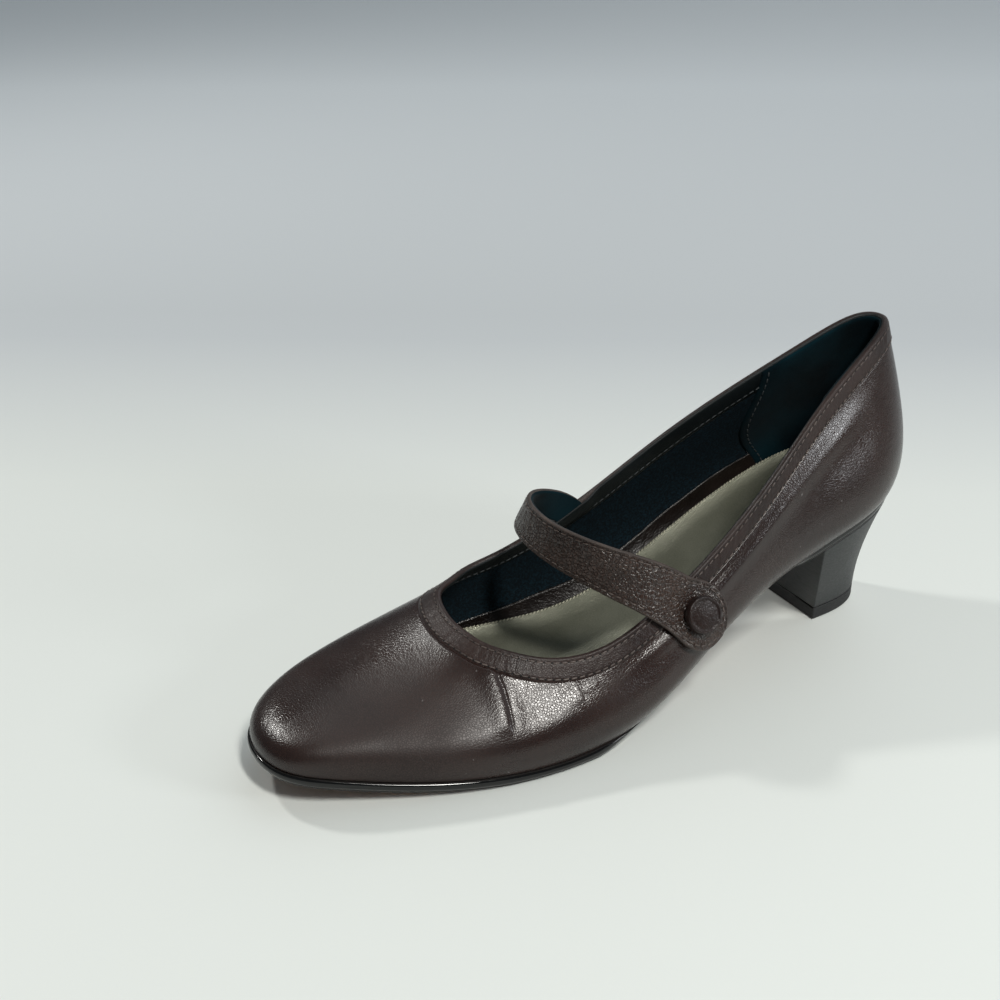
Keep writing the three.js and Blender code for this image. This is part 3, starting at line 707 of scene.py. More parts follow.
# A crease runs through places on the wall (place round the shoe, share up the rib). Its trough is narrow,
# with a soft ridge on the toe side and a lower one behind it.
creases = [
    {"path": [(0.430, 0.96), (0.4175, 0.88), (0.411, 0.84), (0.402, 0.77), (0.3925, 0.69), (0.379, 0.56),
              (0.366, 0.42)],
     "depth": 0.00045, "width": 0.00030, "ridge": 0.00065, "apart": 0.0020, "spread": 0.0018},
    {"path": [(0.352, 0.97), (0.3425, 0.84), (0.333, 0.72), (0.322, 0.56)],
     "depth": 0.00010, "width": 0.00040, "ridge": 0.00012, "apart": 0.002, "spread": 0.0022},
    {"path": [(0.363, 0.96), (0.3555, 0.86), (0.345, 0.75)],
     "depth": 0.00006, "width": 0.00045, "ridge": 0.00008, "apart": 0.0018, "spread": 0.0020},
    {"path": [(0.337, 0.96), (0.326, 0.84), (0.314, 0.68)],
     "depth": 0.00006, "width": 0.00045, "ridge": 0.00008, "apart": 0.0018, "spread": 0.0020},
    {"path": [(0.400, 0.95), (0.392, 0.87), (0.384, 0.78)],
     "depth": 0.00006, "width": 0.0003, "ridge": 0.00005, "apart": 0.0018, "spread": 0.0016},
    {"path": [(0.640, 0.94), (0.652, 0.80), (0.662, 0.68), (0.672, 0.50)],
     "depth": 0.0004, "width": 0.00045, "ridge": 0.0004, "apart": 0.0024, "spread": 0.0021},
    {"path": [(0.675, 0.94), (0.684, 0.78), (0.69, 0.64)],
     "depth": 0.00012, "width": 0.0004, "ridge": 0.0001, "apart": 0.0018, "spread": 0.0016},
]


# How far a crease moves each point out of the wall.
def creaseHeight(points, crease):
    place, share, _ = wallLine(crease["path"], 33)
    path = wallPoint(place, share)
    reach = 6 * crease["spread"] + crease["apart"]
    box = (points > path.min(0) - reach).all(-1) & (points < path.max(0) + reach).all(-1)
    lift = np.zeros(points.shape[:-1])
    near = points[box]
    distance, along, toeward = nearPath(near, path)
    fade = plateau(along, 0, 0.18, 0.8, 1)
    trough = -crease["depth"] * bell(distance, 0, crease["width"])
    slope = crease["spread"] * np.where(toeward > crease["apart"], 2.4, 1)
    front = crease["ridge"] * bell(toeward, crease["apart"], slope)
    rear = 0.25 * crease["ridge"] * bell(toeward, -crease["apart"], crease["spread"])
    lift[box] = fade * (trough + front + rear)
    return lift


# Outer leather: each rib from its foot to under the band, moved out by creases, roll and sway, and back
# down its inner side.
def makeUpper():
    places = placesRound(upper["columns"], upper["closer"])
    top = shareBelow(places, [shoe["bandWidth"] - upper["tuck"]])[:, 0]
    shares = top[:, None] * np.linspace(0, 1, upper["rows"])[None, :]
    around = np.broadcast_to(places[:, None], shares.shape)
    points = wallPoint(around, shares)
    normals = wallNormal(around, shares)
    lift = sum(creaseHeight(points, crease) for crease in creases)
    # Under the band the quarters roll outwards a little, most between the waist and the heel.
    below = (top[:, None] - shares) / top[:, None]
    quarter = plateau(places, 0.04, 0.09, 0.24, 0.30) + plateau(places, 0.70, 0.76, 0.91, 0.96)
    lift = lift + upper["roll"] * quarter[:, None] * bell(below, upper["rollAt"], upper["rollWidth"])
    sway = softWaves(around * 2 * np.pi * 9, shares * 7, 3)
    edge = plateau(shares, 0, 0.12, 0.9, 1)
    outer = points + normals * (lift + upper["sway"] * sway * edge)[..., None]
    backShares = top[:, None] * np.linspace(1, 0, upper["backRows"])[None, :]
    behind = wallOffset(np.broadcast_to(places[:, None], backShares.shape), backShares, -upper["thick"])
    behind[:, -1, 2] -= upper["drop"]
    grid = np.concatenate([outer, behind], axis=1)
    piece = loopSkin("upperLeather", grid, [surface["upper"]], ring=True)
    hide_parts("upper")
    print("upper", len(piece.data.polygons))


# The collar band: a turned leather strip over the topline, with its facing down the inside. Round is how far
# below the topline its rounded edge begins, and facingGap how far its facing stands off the wall's inside.
band = {"columns": 900, "puff": 0.00010, "stitchDepths": (0.0017, 0.0069), "groove": 0.00009,
        "grooveWidth": 0.00045, "round": 0.0007, "facingDepth": 0.0085, "facingGap": 0.0001,
        "facingStitchDepth": 0.0070, "rootSwell": 0.0015, "wear": 0.00007}
facingOut = -shoe["wall"] - band["facingGap"]


# The band's section: distance below the topline and distance out of the wall, going up the outside, over the
# edge and down the facing.
def bandSection():
    step = shoe["bandStep"]
    width = shoe["bandWidth"]
    foot = band["facingDepth"]
    down = np.linspace(width - 0.0003, band["round"], 22)
    puffed = band["puff"] * np.clip(np.sin(np.pi * (down - 0.0012) / 0.0058), 0, 1) ** 0.7
    grooves = sum(band["groove"] * bell(down, depth, band["grooveWidth"]) for depth in band["stitchDepths"])
    edge = step * smoothStep(0, 0.0012, width - down)
    outside = np.stack([down, edge + puffed - grooves], -1)
    turn = np.linspace(0, np.pi, 9)[1:-1]
    middle = (step + facingOut) / 2
    half = (step - facingOut) / 2
    over = np.stack([band["round"] - 0.0008 * np.sin(turn), middle + half * np.cos(turn)], -1)
    inside = np.linspace(band["round"], foot, 12)
    facing = np.stack([inside, np.full(12, facingOut)], -1)
    # Both lower edges turn back under the strip.
    start = np.array([[width, -0.0004], [width + 0.00005, -0.0001]])
    end = np.array([[foot + 0.0001, facingOut + 0.0002], [foot, facingOut + 0.0006]])
    section = np.concatenate([start, outside, over, facing, end])
    isFacing = np.zeros(len(section), int)
    isFacing[len(start) + len(outside) + 4:] = 1
    return section, isFacing


# The band's section carried round the topline, each of its points at a depth down the rib and a
# distance out of the wall.
def makeBand():
    places = placesRound(band["columns"])
    section, isFacing = bandSection()
    depths = np.broadcast_to(section[:, 0], (len(places), len(section)))
    shares = shareBelow(places, np.maximum(depths, 0))
    # Over the topline the ribs run on as if each were 60 mm long.
    shares = shares - np.minimum(depths, 0) / 0.06
    around = np.broadcast_to(places[:, None], shares.shape)
    topline = wallPoint(places, np.ones(len(places)))
    run = runLength(topline)
    # On the inside the collar swells where the strap's end is sewn into it.
    swell = plateau(places, 0.727, 0.741, 0.771, 0.786)
    inwards = np.clip((shoe["bandStep"] - section[:, 1]) / (shoe["bandStep"] + shoe["wall"]), 0, 1)
    inwards = inwards * (section[:, 0] < 0.0008) + isFacing * (1 - smoothStep(0.0045, 0.0080, section[:, 0]))
    out = section[:, 1] - band["rootSwell"] * swell[:, None] * np.minimum(inwards, 1)[None, :]
    pucker = softWaves(run[:, None] * 2600 + 0 * depths, depths * 500, 8)
    worn = band["wear"] * np.clip(np.sin(np.pi * depths / shoe["bandWidth"]), 0, 1) * (isFacing == 0)
    grid = wallOffset(around, shares, out + pucker * worn)
    along = np.broadcast_to(run[:, None], shares.shape)
    runs = np.stack([along, depths, 0 * depths], -1)
    piece = loopSkin("collarBand", grid, [surface["band"], surface["facing"]], ring=True,
                     loopMaterials=isFacing, run=runs)
    print("band", len(piece.data.polygons))


# A line on the wall at a depth below the topline, with its normals.
def lineBelow(depth, out):
    places = placesRound(band["columns"])
    shares = shareBelow(places, [depth])[:, 0]
    return wallOffset(places, shares, np.full(len(places), out)), wallNormal(places, shares)


# The seams' stitches, and between them small flat lens shapes on the surface, dark as painted shade of the
# needle holes.
thread = {"pitch": 0.0026, "length": 0.0019, "radius": 0.00026, "slant": 0.08}
holes = {"pitch": thread["pitch"], "length": 0.00064, "radius": 0.00032, "lift": -0.000112}


# Rows of stitches along lines at set depths, and holes between those of the two outer rows.
def makeBandStitches():
    step = shoe["bandStep"]
    for name, depth in zip(("topStitches", "lowerStitches"), band["stitchDepths"]):
        path, normals = lineBelow(depth, step + band["puff"] * 0.5 - band["groove"])
        stitchRow(name, path, normals, thread, surface["thread"], ring=True)
        # The holes stand half a pitch along from the stitches.
        run = runLength(path)
        further = run + thread["pitch"] / 2
        shifted, turned = (
            np.stack([np.interp(further, run, source[:, k]) for k in range(3)], -1)
            for source in (path, normals))
        # Each hole is a flat dark lens: painted shade of a needle hole.
        stitchRow(name + "Holes", shifted, turned, holes, surface["pinhole"], ring=True)
    path, normals = lineBelow(band["facingStitchDepth"], facingOut)
    stitchRow("facingStitches", path, -normals, thread, surface["darkThread"], ring=True)


# Inside the wall: a textile lining, a leather strip by the insole and a suede grip round the heel.
inside = {"columns": 420, "rows": 40, "clear": 0.00005, "liningThick": 0.0003, "stripThick": 0.0003,
          "stripRows": 10, "stripFoot": 0.0022, "stripHeight": 0.0085, "gripRise": 0.0004, "gripRows": 44,
          "gripColumns": 90, "gripReach": 0.088}


# A closed thin skin on the inside of the wall between two shares of each rib.
def innerShell(name, places, low, high, out, thick, rows, material):
    climb = np.linspace(0, 1, rows)
    up = mix(low[:, None], high[:, None], climb[None, :])
    backRows = rows // 2
    down = mix(high[:, None], low[:, None], np.linspace(0, 1, backRows)[None, :])
    shares = np.concatenate([up, down], axis=1)
    outs = np.concatenate([np.full(rows, out), np.full(backRows, out + thick)])
    around = np.broadcast_to(places[:, None], shares.shape)
    grid = wallOffset(around, shares, np.broadcast_to(outs, shares.shape))
    along = runLength(wallPoint(places, np.full(len(places), 0.6)))
    height = runLength(wallPoint(np.full(rows, 0.3), climb))
    heights = np.concatenate([height, np.zeros(backRows)])
    runs = np.stack(np.broadcast_arrays(along[:, None], heights[None, :], 0 * shares), -1)
    return loopSkin(name, grid, [material], ring=True, run=runs)


# Lining and strip are shells between two heights of every rib, and the grip is one round the heel.
def makeInside():
    places = placesRound(inside["columns"])
    skinOut = -shoe["wall"] - inside["clear"]
    top = shareBelow(places, [band["facingDepth"] - 0.0005])[:, 0]
    lining = innerShell("lining", places, 0 * top, top, skinOut, inside["liningThick"], inside["rows"],
                        surface["textile"])
    forward = wallPoint(places, 0 * places)[:, 1]
    wrinkled = 1 + 0.03 * np.sin(places * 60) + 0.02 * np.sin(places * 137)
    fuller = mix(0.42, 1.0, smoothStep(-0.150, -0.100, forward))
    height = inside["stripHeight"] * wrinkled * fuller * smoothStep(-0.222, -0.185, forward)
    strip = shareAbove(places, inside["stripFoot"] + height)
    piece = innerShell("innerStrip", places, 0 * top, strip, skinOut - inside["liningThick"],
                       inside["stripThick"], inside["stripRows"], surface["innerBand"])
    # The grip's front edge bulges forward at mid height and falls back towards the insole.
    rows = inside["gripRows"]
    climb = np.linspace(0, 1, rows)
    reach = inside["gripReach"] + 0.012 * np.sin(np.pi * smoothStep(0, 1.0, climb)) + 0.008 * climb
    side = np.linspace(-1, 1, inside["gripColumns"])
    gripPlaces = side[:, None] * reach[None, :]
    low = shareAbove(gripPlaces.reshape(-1), np.full(gripPlaces.size, 0.002)).reshape(gripPlaces.shape)
    high = shareBelow(gripPlaces.reshape(-1), [0.0006])[:, 0].reshape(gripPlaces.shape)
    shares = mix(low, high, climb[None, :])
    frontEdge = 1 - smoothStep(0.96, 1, np.abs(side))[:, None]
    face = wallOffset(gripPlaces, shares, skinOut - 0.0002 - inside["gripRise"] * frontEdge)
    back = wallOffset(gripPlaces, shares, np.full(shares.shape, skinOut + 0.0001))[:, ::-1]
    grid = np.concatenate([face, back], axis=1)
    # The two ends are closed by bringing the face down onto the back.
    for end in (0, -1):
        grid[end, :rows] = grid[end, rows:][::-1]
    grip = loopSkin("heelGrip", grid, [surface["suede"]])
    for which, column in (("Outer", -4), ("Inner", 3)):
        inward = -wallNormal(gripPlaces[column], shares[column])
        stitchRow("gripStitches" + which, face[column, 1:-1], inward[1:-1], thread, surface["darkThread"])
    print("inside made")


# The upper's side seam on the inner side: a narrow raised join from under the band to the sole.
sideSeam = {"path": [(0.786, 0.90), (0.790, 0.65), (0.797, 0.35), (0.803, 0.03)], "width": 0.0011,
            "high": 0.00022, "rows": 90, "around": 12}


# Oval rings along the seam's line, closing to nothing at both ends as the root of the distance.
def makeSideSeam():
    place, share, fine = wallLine(sideSeam["path"], sideSeam["rows"])
    path = wallPoint(place, share)
    normal = wallNormal(place, share)
    side = unit(np.cross(np.gradient(path, axis=0), normal))
    swell = np.sqrt(np.clip(np.minimum(fine, 1 - fine) / 0.02, 0, 1))[:, None]
    rings = ringsRound(path, swell * sideSeam["width"] / 2 * side, swell * sideSeam["high"] * normal,
                       sideSeam["around"])
    piece = loopSkin("sideSeam", rings, [surface["band"]])


makeUpper()
makeSideSeam()
makeBand()
makeBandStitches()
makeInside()


# The sole runs under the whole shoe, the sock lies on it inside the wall, and the heel carries the top piece.
sole = {"thick": 0.004, "shankShare": 0.75, "beadDepth": 0.0026, "proud": 0.0011, "stripInset": 0.0011,
        "seatInset": 0.0004, "bevel": 0.005, "beadRows": 9, "beadReach": 0.0006, "stations": 320,
        "across": 26}
insole = {"thick": 0.0022, "inset": 0.0020, "round": 0.0006, "curlWidth": 0.004, "curlRise": 0.0042,
          "middleRise": -0.0004, "edgeOff": 0.00085, "edgingAt": 0.93, "edgingColumns": 1400}
edging = {"pitch": 0.0014, "length": 0.0012, "radius": 0.00026, "slant": 0.45}
# Each nick is an arc: middle, radius, and the degrees from which and to which it runs.
nicks = {
    "sockNickA": ((0.0065, -0.0770), 0.0045, 200, 290),
    "sockNickB": ((0.0125, -0.0745), 0.0060, 225, 300),
}
heel = {"front": 0.0395, "back": 0.0105, "half": 0.0152, "treadPower": 0.7, "hollowPower": 0.9,
        "breast": 0.048, "inset": 0.0009, "topPiece": 0.005, "stations": 60, "rings": 60,
        "edge": 0.0004, "sharp": 38}

finePlaces = np.linspace(0, 1, 8001)
fineFoot = ribSpline(finePlaces)[:, :2] * [shoe["length"], shoe["ballHalf"]]
backAlong = ribTable[0, 0] * shoe["length"]


# Place round the shoe where the feather line passes a distance from the back, on the outer or inner side.
def placeAlong(along, outerSide):
    mine = finePlaces <= toePlace if outerSide else finePlaces >= toePlace
    order = np.argsort(fineFoot[mine, 0], kind="stable")
    return np.interp(along, fineFoot[mine, 0][order], finePlaces[mine][order])


# The feather line moved outwards in plan: across and along.
def rimPoint(place, out):
    nudge = 0.001
    here, before, after = (ribSpline(place + step)[..., :2] for step in (0, -nudge, nudge))
    scale = np.array([shoe["length"], shoe["ballHalf"]])
    turn = unit((after - before) * scale)
    along = here[..., 0] * scale[0] - turn[..., 1] * out
    across = here[..., 1] * scale[1] + turn[..., 0] * out
    return across, along


# The sole's upper face: the feather line less the gap.
def soleTop(along):
    return rise(along) - shoe["fitGap"]


# 0 under the heel and waist, easing to 1 under the ball and toe.
def forefoot(along):
    return smoothStep(0.48, 0.62, along / shoe["length"])


# The underside: the upper face less a thickness that is smaller in the shank, not below the floor.
def soleUnder(along):
    return np.maximum(soleTop(along) - sole["thick"] * mix(sole["shankShare"], 1, forefoot(along)), 0)


# Distances from the back at which the sole's sections stand, closer together at its ends.
def stationsAlong():
    share = (1 - np.cos(np.pi * np.arange(sole["stations"] + 1) / sole["stations"])) / 2
    return backAlong + share * (shoe["length"] - backAlong)


# Sections across the sole: the outer rim's profile, under, the inner rim's profile and over the top, whose
# middle is raised by a height. Spot gives the point of a place and a knot of the profile.
def crossSections(profile, spot, middleRise=0.0):
    along = stationsAlong()
    sides = []
    for outerSide in (True, False):
        place = placeAlong(along, outerSide)
        if not outerSide:
            place[0] = 1.0
        place[-1] = toePlace
        sides.append(np.stack([spot(place, *knot) for knot in profile], 1))
    outer, inner = sides
    share = np.linspace(0, 1, sole["across"] + 2)[1:-1, None]
    under = mix(outer[:, -1:], inner[:, -1:], share[None])
    over = mix(inner[:, :1], outer[:, :1], share[None])
    over[..., 2] += middleRise * 4 * share[:, 0] * (1 - share[:, 0])
    return np.concatenate([outer, under, inner[:, ::-1], over], axis=1)


# Point of the sole's rim: the feather line moved out by the profile and in by the waist's bevel, at the
# profile's share of the way from the upper face to the underside.
def soleSpot(place, out, drop):
    along = ribSpline(place)[..., 0] * shoe["length"]
    fore = forefoot(along)
    waist = smoothStep(0.2, 0.3, along / shoe["length"]) * (1 - fore)
    proud = mix(-sole["seatInset"], sole["proud"], fore)
    deep = drop / sole["thick"]
    across, forward = rimPoint(place, proud + out * mix(0.35, 1, fore) - waist * sole["bevel"] * deep)
    height = mix(soleTop(forward), soleUnder(forward), deep)
    return np.stack([across, shoe["origin"] - forward, height], -1)


# The sole: a half-round bead, a strip set back under it, and the underside, on sections across.
def makeSole():
    depth = sole["beadDepth"]
    reach = sole["beadReach"]
    step = sole["stripInset"]
    bottom = sole["thick"]
    turn = np.linspace(np.pi / 2, -np.pi / 2, sole["beadRows"])
    bead = [(reach * np.cos(a) - reach, depth / 2 - depth / 2 * np.sin(a)) for a in turn]
    groove = [(-step, depth + 0.00012), (-step, bottom - 0.0006), (-step - 0.0001, bottom - 0.0003),
              (-step - 0.0006, bottom)]
    profile = bead + groove
    grid = crossSections(profile, soleSpot)
    # Round each section: bead, strip, underside, strip, bead, and plain strip over the top.
    rim = [0] * (len(bead) - 1) + [1] * len(groove)
    parts = np.array(rim + [2] * (sole["across"] + 1) + rim[::-1])
    parts = np.append(parts, np.ones(grid.shape[1] - len(parts), int))
    piece = loopSkin("soleEdgeAndUnderside", grid, [surface["bead"], surface["strip"], surface["underside"]],
                     loopMaterials=parts, sharp=50)
    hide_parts("outsole")
    print("sole", len(piece.data.polygons))


# Point of the sock's flat: the feather line moved in by the inset and lifted.
def insoleSpot(place, out, lift):
    across, forward = rimPoint(place, -insole["inset"] + out)
    return np.stack([across, shoe["origin"] - forward, rise(forward) + lift], -1)


# From the flat of the sock (curl 0) up the inside of the wall to its edge (curl 1).
def sockSpot(place, curl, lift):
    flat = insoleSpot(place, insole["curlWidth"] * (curl - 1), lift)
    share = shareAbove(place, np.full(len(place), insole["curlRise"]))
    edge = wallOffset(place, share, -shoe["wall"] - insole["edgeOff"])
    edge[:, 2] += lift - insole["thick"]
    return mix(flat, edge, curl**2)


# The sock: a flat that curls up the wall, with its gimped edge and the nicks as arcs.
def makeInsole():
    top = insole["thick"]
    edge = insole["round"]
    profile = [(curl, top) for curl in (0, 0.3, 0.55, 0.75, 0.9)] + [(1, top - edge * 0.2), (1, top - edge)]
    profile = profile + [(0.5, 0.0008), (0, 0.0002)]
    grid = crossSections(profile, sockSpot, insole["middleRise"])
    piece = loopSkin("sockLeather", grid, [surface["sock"]])
    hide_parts("insole")
    # Gimped edge: slanting threads close together round the sock's edge.
    places = placesRound(insole["edgingColumns"])
    path = sockSpot(places, insole["edgingAt"], top + 0.00004)
    normals = unit(np.array([0, 0, 1.0]) - 0.8 * wallNormal(places, np.full(len(places), 0.15)))
    gimp = stitchRow("sockEdging", path, normals, edging, surface["sockThread"], ring=True)
    # Two curved nicks pressed up in the sock under the instep, thickest at their middle.
    for name, (centre, radius, start, end) in nicks.items():
        angle = np.radians(np.linspace(start, end, 24))
        x = centre[0] + radius * np.cos(angle)
        y = centre[1] + radius * np.sin(angle)
        path = np.stack([x, y, rise(shoe["origin"] - y) + top - 0.00032], -1)
        thick = np.sin(np.linspace(0.15, np.pi - 0.15, 24))[:, None] * 0.00016
        tangent = unit(np.gradient(path[:, :2], axis=0))
        side = np.stack([-tangent[:, 1], tangent[:, 0], 0 * x], -1)
        rings = ringsRound(path, thick * side, thick * np.array([0, 0, 1.6]), 8)
        nick = loopSkin(name, closeEnds(rings), [surface["sock"]])
    print("insole made")


# The heel's loop: share of the half width and depth from the breast back, for the outer then the inner side.
def treadLoop():
    turn = np.linspace(0, np.pi / 2, heel["stations"] + 1)
    sine = np.concatenate([np.sin(turn), np.sin(turn[1:][::-1])])
    depth = np.cos(turn).clip(0) ** heel["treadPower"]
    depth[-1] = 0
    depth = np.concatenate([depth, depth[1:][::-1]])
    side = np.concatenate([np.ones(heel["stations"] + 1), -np.ones(heel["stations"])])
    return sine * side, depth, side


# Across and along of the tread's outline, moved in by an inset.
def treadPoint(inset):
    across, depth, _ = treadLoop()
    length = heel["front"] - heel["back"] - 2 * inset
    return (heel["half"] - inset) * across, heel["front"] - inset - length * depth


# Stacks level loops into a closed skin with slightly rounded edges.
def stackSkin(name, rings, material):
    piece = loopSkin(name, closeEnds(rings), [material], sharp=heel["sharp"])
    soften = piece.modifiers.new("edges", "BEVEL")
    soften.width = heel["edge"]
    soften.segments = 2
    soften.limit_method = "ANGLE"
    soften.angle_limit = np.radians(40)
    return piece


# The heel: level loops from the tread's outline to the sole's, mixed by a power of the height that
# grows towards the back and makes it hollow. The top piece repeats the tread's outline.
def makeHeel():
    lowAcross, lowAlong = treadPoint(0)
    _, depth, side = treadLoop()
    along = heel["breast"] - (heel["breast"] - backAlong) * depth
    place = np.where(side > 0, placeAlong(along, True), placeAlong(along, False))
    place[0] = 0
    highAcross, highAlong = rimPoint(place, -heel["inset"])
    foot = heel["topPiece"] + shoe["fitGap"]
    share = np.linspace(0, 1, heel["rings"])[:, None]
    hollow = share ** (1 + heel["hollowPower"] * depth[None, :])
    across = mix(lowAcross[None], highAcross[None], hollow)
    forward = mix(lowAlong[None], highAlong[None], hollow)
    height = mix(foot, soleUnder(highAlong)[None] - shoe["fitGap"], share)
    rings = np.stack([across, shoe["origin"] - forward, height], -1)
    piece = stackSkin("heelCover", rings, surface["heel"])
    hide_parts("heel")
    loops = []
    for inset, level in ((0.0005, 0), (0, 0.0005), (0, 0.0025), (0, heel["topPiece"])):
        across, forward = treadPoint(inset)
        loops.append(np.stack([across, shoe["origin"] - forward, np.full(len(across), level)], -1))
    piece = stackSkin("topPieceRubber", np.array(loops), surface["topPiece"])
    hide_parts("top_piece")
    print("heel made")


makeSole()
makeInsole()
makeHeel()


# The strap. Its run goes from 0 at its root to 1 at the neck, where the tab begins; rootFrom is how far it
# reaches back inside the collar, rootShift how far it leans into it, and skive how much of its thickness is
# pared off there.
strap = {
    "thick": 0.0022, "rootWidth": 0.011, "neckWidth": 0.0185, "flare": 1.3, "settleFrom": 0.7,
    "tabRadius": 0.0105, "tabAngle": 41, "tipGap": 0.00015, "freeRows": 250, "tabRows": 70, "columns": 30,
    "stitchInset": 0.0017, "leatherShare": 0.62, "rootFrom": -0.03, "rootShift": 0.0013, "skive": 0.45,
    "edge": 0.0006, "faceDrop": 0.0001, "crown": 0.00018, "groove": 0.00022, "stitchSink": 0.00017,
    "foldHeight": 0.00014, "waveHeight": 0.00007, "pinchHeight": 0.00022,
}
button = {"along": 0.444, "rise": 0.337, "radius": 0.0062, "height": 0.004, "around": 72, "rows": 60,
          "grain": 0.00004, "pleats": 31, "pleat": 0.00006}
# The button's section, from the middle of its back over the rolled rim to the middle of its face: shares of
# the radius and of the height.
buttonKnots = np.array([
    [0, 0], [0.86, 0], [0.95, 0.05], [1, 0.2], [1, 0.52], [0.985, 0.68], [0.95, 0.78], [0.90, 0.83],
    [0.85, 0.82], [0.81, 0.76], [0.77, 0.735], [0.70, 0.75], [0.58, 0.79], [0.40, 0.825], [0.18, 0.845],
    [0, 0.85],
])
# Middle of the strap, a row per place: run, across as a share of the ball's half width, along of the length,
# up of the back height, and the lean of its width in X and Y.
strapKnots = np.array([
    [-0.10, -0.655, 0.462, 0.393, 0.12, 0.80], [0.00, -0.655, 0.482, 0.444, 0.16, 0.74],
    [0.10, -0.650, 0.512, 0.497, 0.22, 0.60], [0.20, -0.610, 0.547, 0.534, 0.24, 0.48],
    [0.35, -0.390, 0.585, 0.556, 0.14, 0.32], [0.50, -0.045, 0.590, 0.545, 0.12, 0.18],
    [0.65, 0.283, 0.567, 0.517, 0.10, 0.21], [0.80, 0.570, 0.531, 0.481, 0.00, 0.38],
    [0.90, 0.725, 0.502, 0.448, -0.18, 0.52], [1.00, 0.805, 0.473, 0.398, -0.25, 0.62],
])
strapSpline = makeSpline(strapKnots[:, 0], strapKnots[:, 1:])
tabOut = shoe["bandStep"] + shoe["fitGap"]
tabDown = np.sin(np.radians(strap["tabAngle"]))
tabBack = np.cos(np.radians(strap["tabAngle"]))
buttonAlong = button["along"] * shoe["length"]
buttonRise = button["rise"] * shoe["backHeight"]
neckAlong = strapKnots[-1, 2] * shoe["length"]
neckToButton = (neckAlong - buttonAlong) / tabBack
tabLength = neckToButton + strap["tabRadius"]


# Place and share of the point of the upper's outer side at a distance from the back and a height, found by
# Newton's steps from a start on the quarter.
def outerSideSpot(along, up):
    along, up = np.broadcast_arrays(along, up)
    place = np.full(along.shape, 0.22)
    share = np.full(along.shape, 0.75)
    nudge = 0.001

    def miss(a, b):
        point = wallPoint(a, b)
        return shoe["origin"] - point[..., 1] - along, point[..., 2] - up

    for _ in range(12):
        here, turned, raised = miss(place, share), miss(place + nudge, share), miss(place, share + nudge)
        a, c = ((turned[k] - here[k]) / nudge for k in (0, 1))
        b, d = ((raised[k] - here[k]) / nudge for k in (0, 1))
        scale = a * d - b * c
        place = place - (d * here[0] - b * here[1]) / scale
        share = share - (a * here[1] - c * here[0]) / scale
    return place, share


# Middle of the strap: the spline's shares times half width, length and back height.
def strapMiddle(run):
    row = strapSpline(run)
    y = shoe["origin"] - row[..., 1] * shoe["length"]
    return np.stack([row[..., 0] * shoe["ballHalf"], y, row[..., 2] * shoe["backHeight"]], -1)


# Half width from the root to the neck, growing by a power of the run.
def freeHalf(run):
    return mix(strap["rootWidth"], strap["neckWidth"], np.maximum(run, 0) ** strap["flare"]) / 2


# Point of the free strap: run along it, distance across from its middle line and out of its middle face.
def freePoint(run, across, out):
    along = unit(strapMiddle(run + 0.001) - strapMiddle(run - 0.001))
    lean = strapSpline(run)[..., 3:5]
    up = np.sqrt(1 - (lean**2).sum(-1, keepdims=True))
    lean = np.concatenate([lean, up], -1)
    width = unit(lean - along * (lean * along).sum(-1, keepdims=True))
    outward = np.cross(along, width)
    # The sewn end leans out to the collar, which closes over it.
    out = out + strap["rootShift"] * (1 - smoothStep(-0.05, 0.18, run))
    return strapMiddle(run) + width * across[..., None] + outward * out[..., None]


# Point of the tab, laid on the upper: distance from the neck, across, and out of the middle face.
def tabPoint(distance, across, out):
    along = neckAlong - distance * tabBack - across * tabDown
    up = buttonRise + (neckToButton - distance) * tabDown + across * tabBack
    place, share = outerSideSpot(along, up)
    return wallOffset(place, share, tabOut + strap["thick"] / 2 + out)


# Half width of the tab: the neck's, eased into a circle round the button.
def tabHalf(distance):
    past = np.maximum(distance - neckToButton, 0)
    reach = np.sqrt(np.maximum(strap["tabRadius"] ** 2 - past**2, 0))
    return mix(strap["neckWidth"] / 2, reach, smoothStep(0, neckToButton, distance))


# Point anywhere on the strap: place is the run up to 1, and 1 plus the distance in metres beyond it.
def strapPoint(place, across, out):
    place, across, out = (np.array(part) for part in np.broadcast_arrays(place, across, out))
    run = np.minimum(place, 1)
    free = freePoint(run, across, out)
    settle = smoothStep(strap["settleFrom"], 1, run)[..., None]
    neckAcross = across * (strap["neckWidth"] / 2) / freeHalf(run)
    change = tabPoint(0 * run, neckAcross, out) - freePoint(1 + 0 * run, neckAcross, out)
    laid = tabPoint(np.maximum(place - 1, 0), across, out)
    return np.where((place > 1)[..., None], laid, free + change * settle)


# Half width anywhere: the free strap's up to the neck, and the tab's beyond.
def strapHalf(place):
    return np.where(place > 1, tabHalf(np.maximum(place - 1, 0)), freeHalf(np.minimum(place, 1)))


# Places of the strap's rows: even up to the neck, and closer together towards the tab's tip.
def strapRows():
    free = np.linspace(strap["rootFrom"], 1, strap["freeRows"])
    turn = np.linspace(0, np.pi / 2, strap["tabRows"] + 1)[1:]
    return np.concatenate([free, 1 + (tabLength - strap["tipGap"]) * np.sin(turn)])


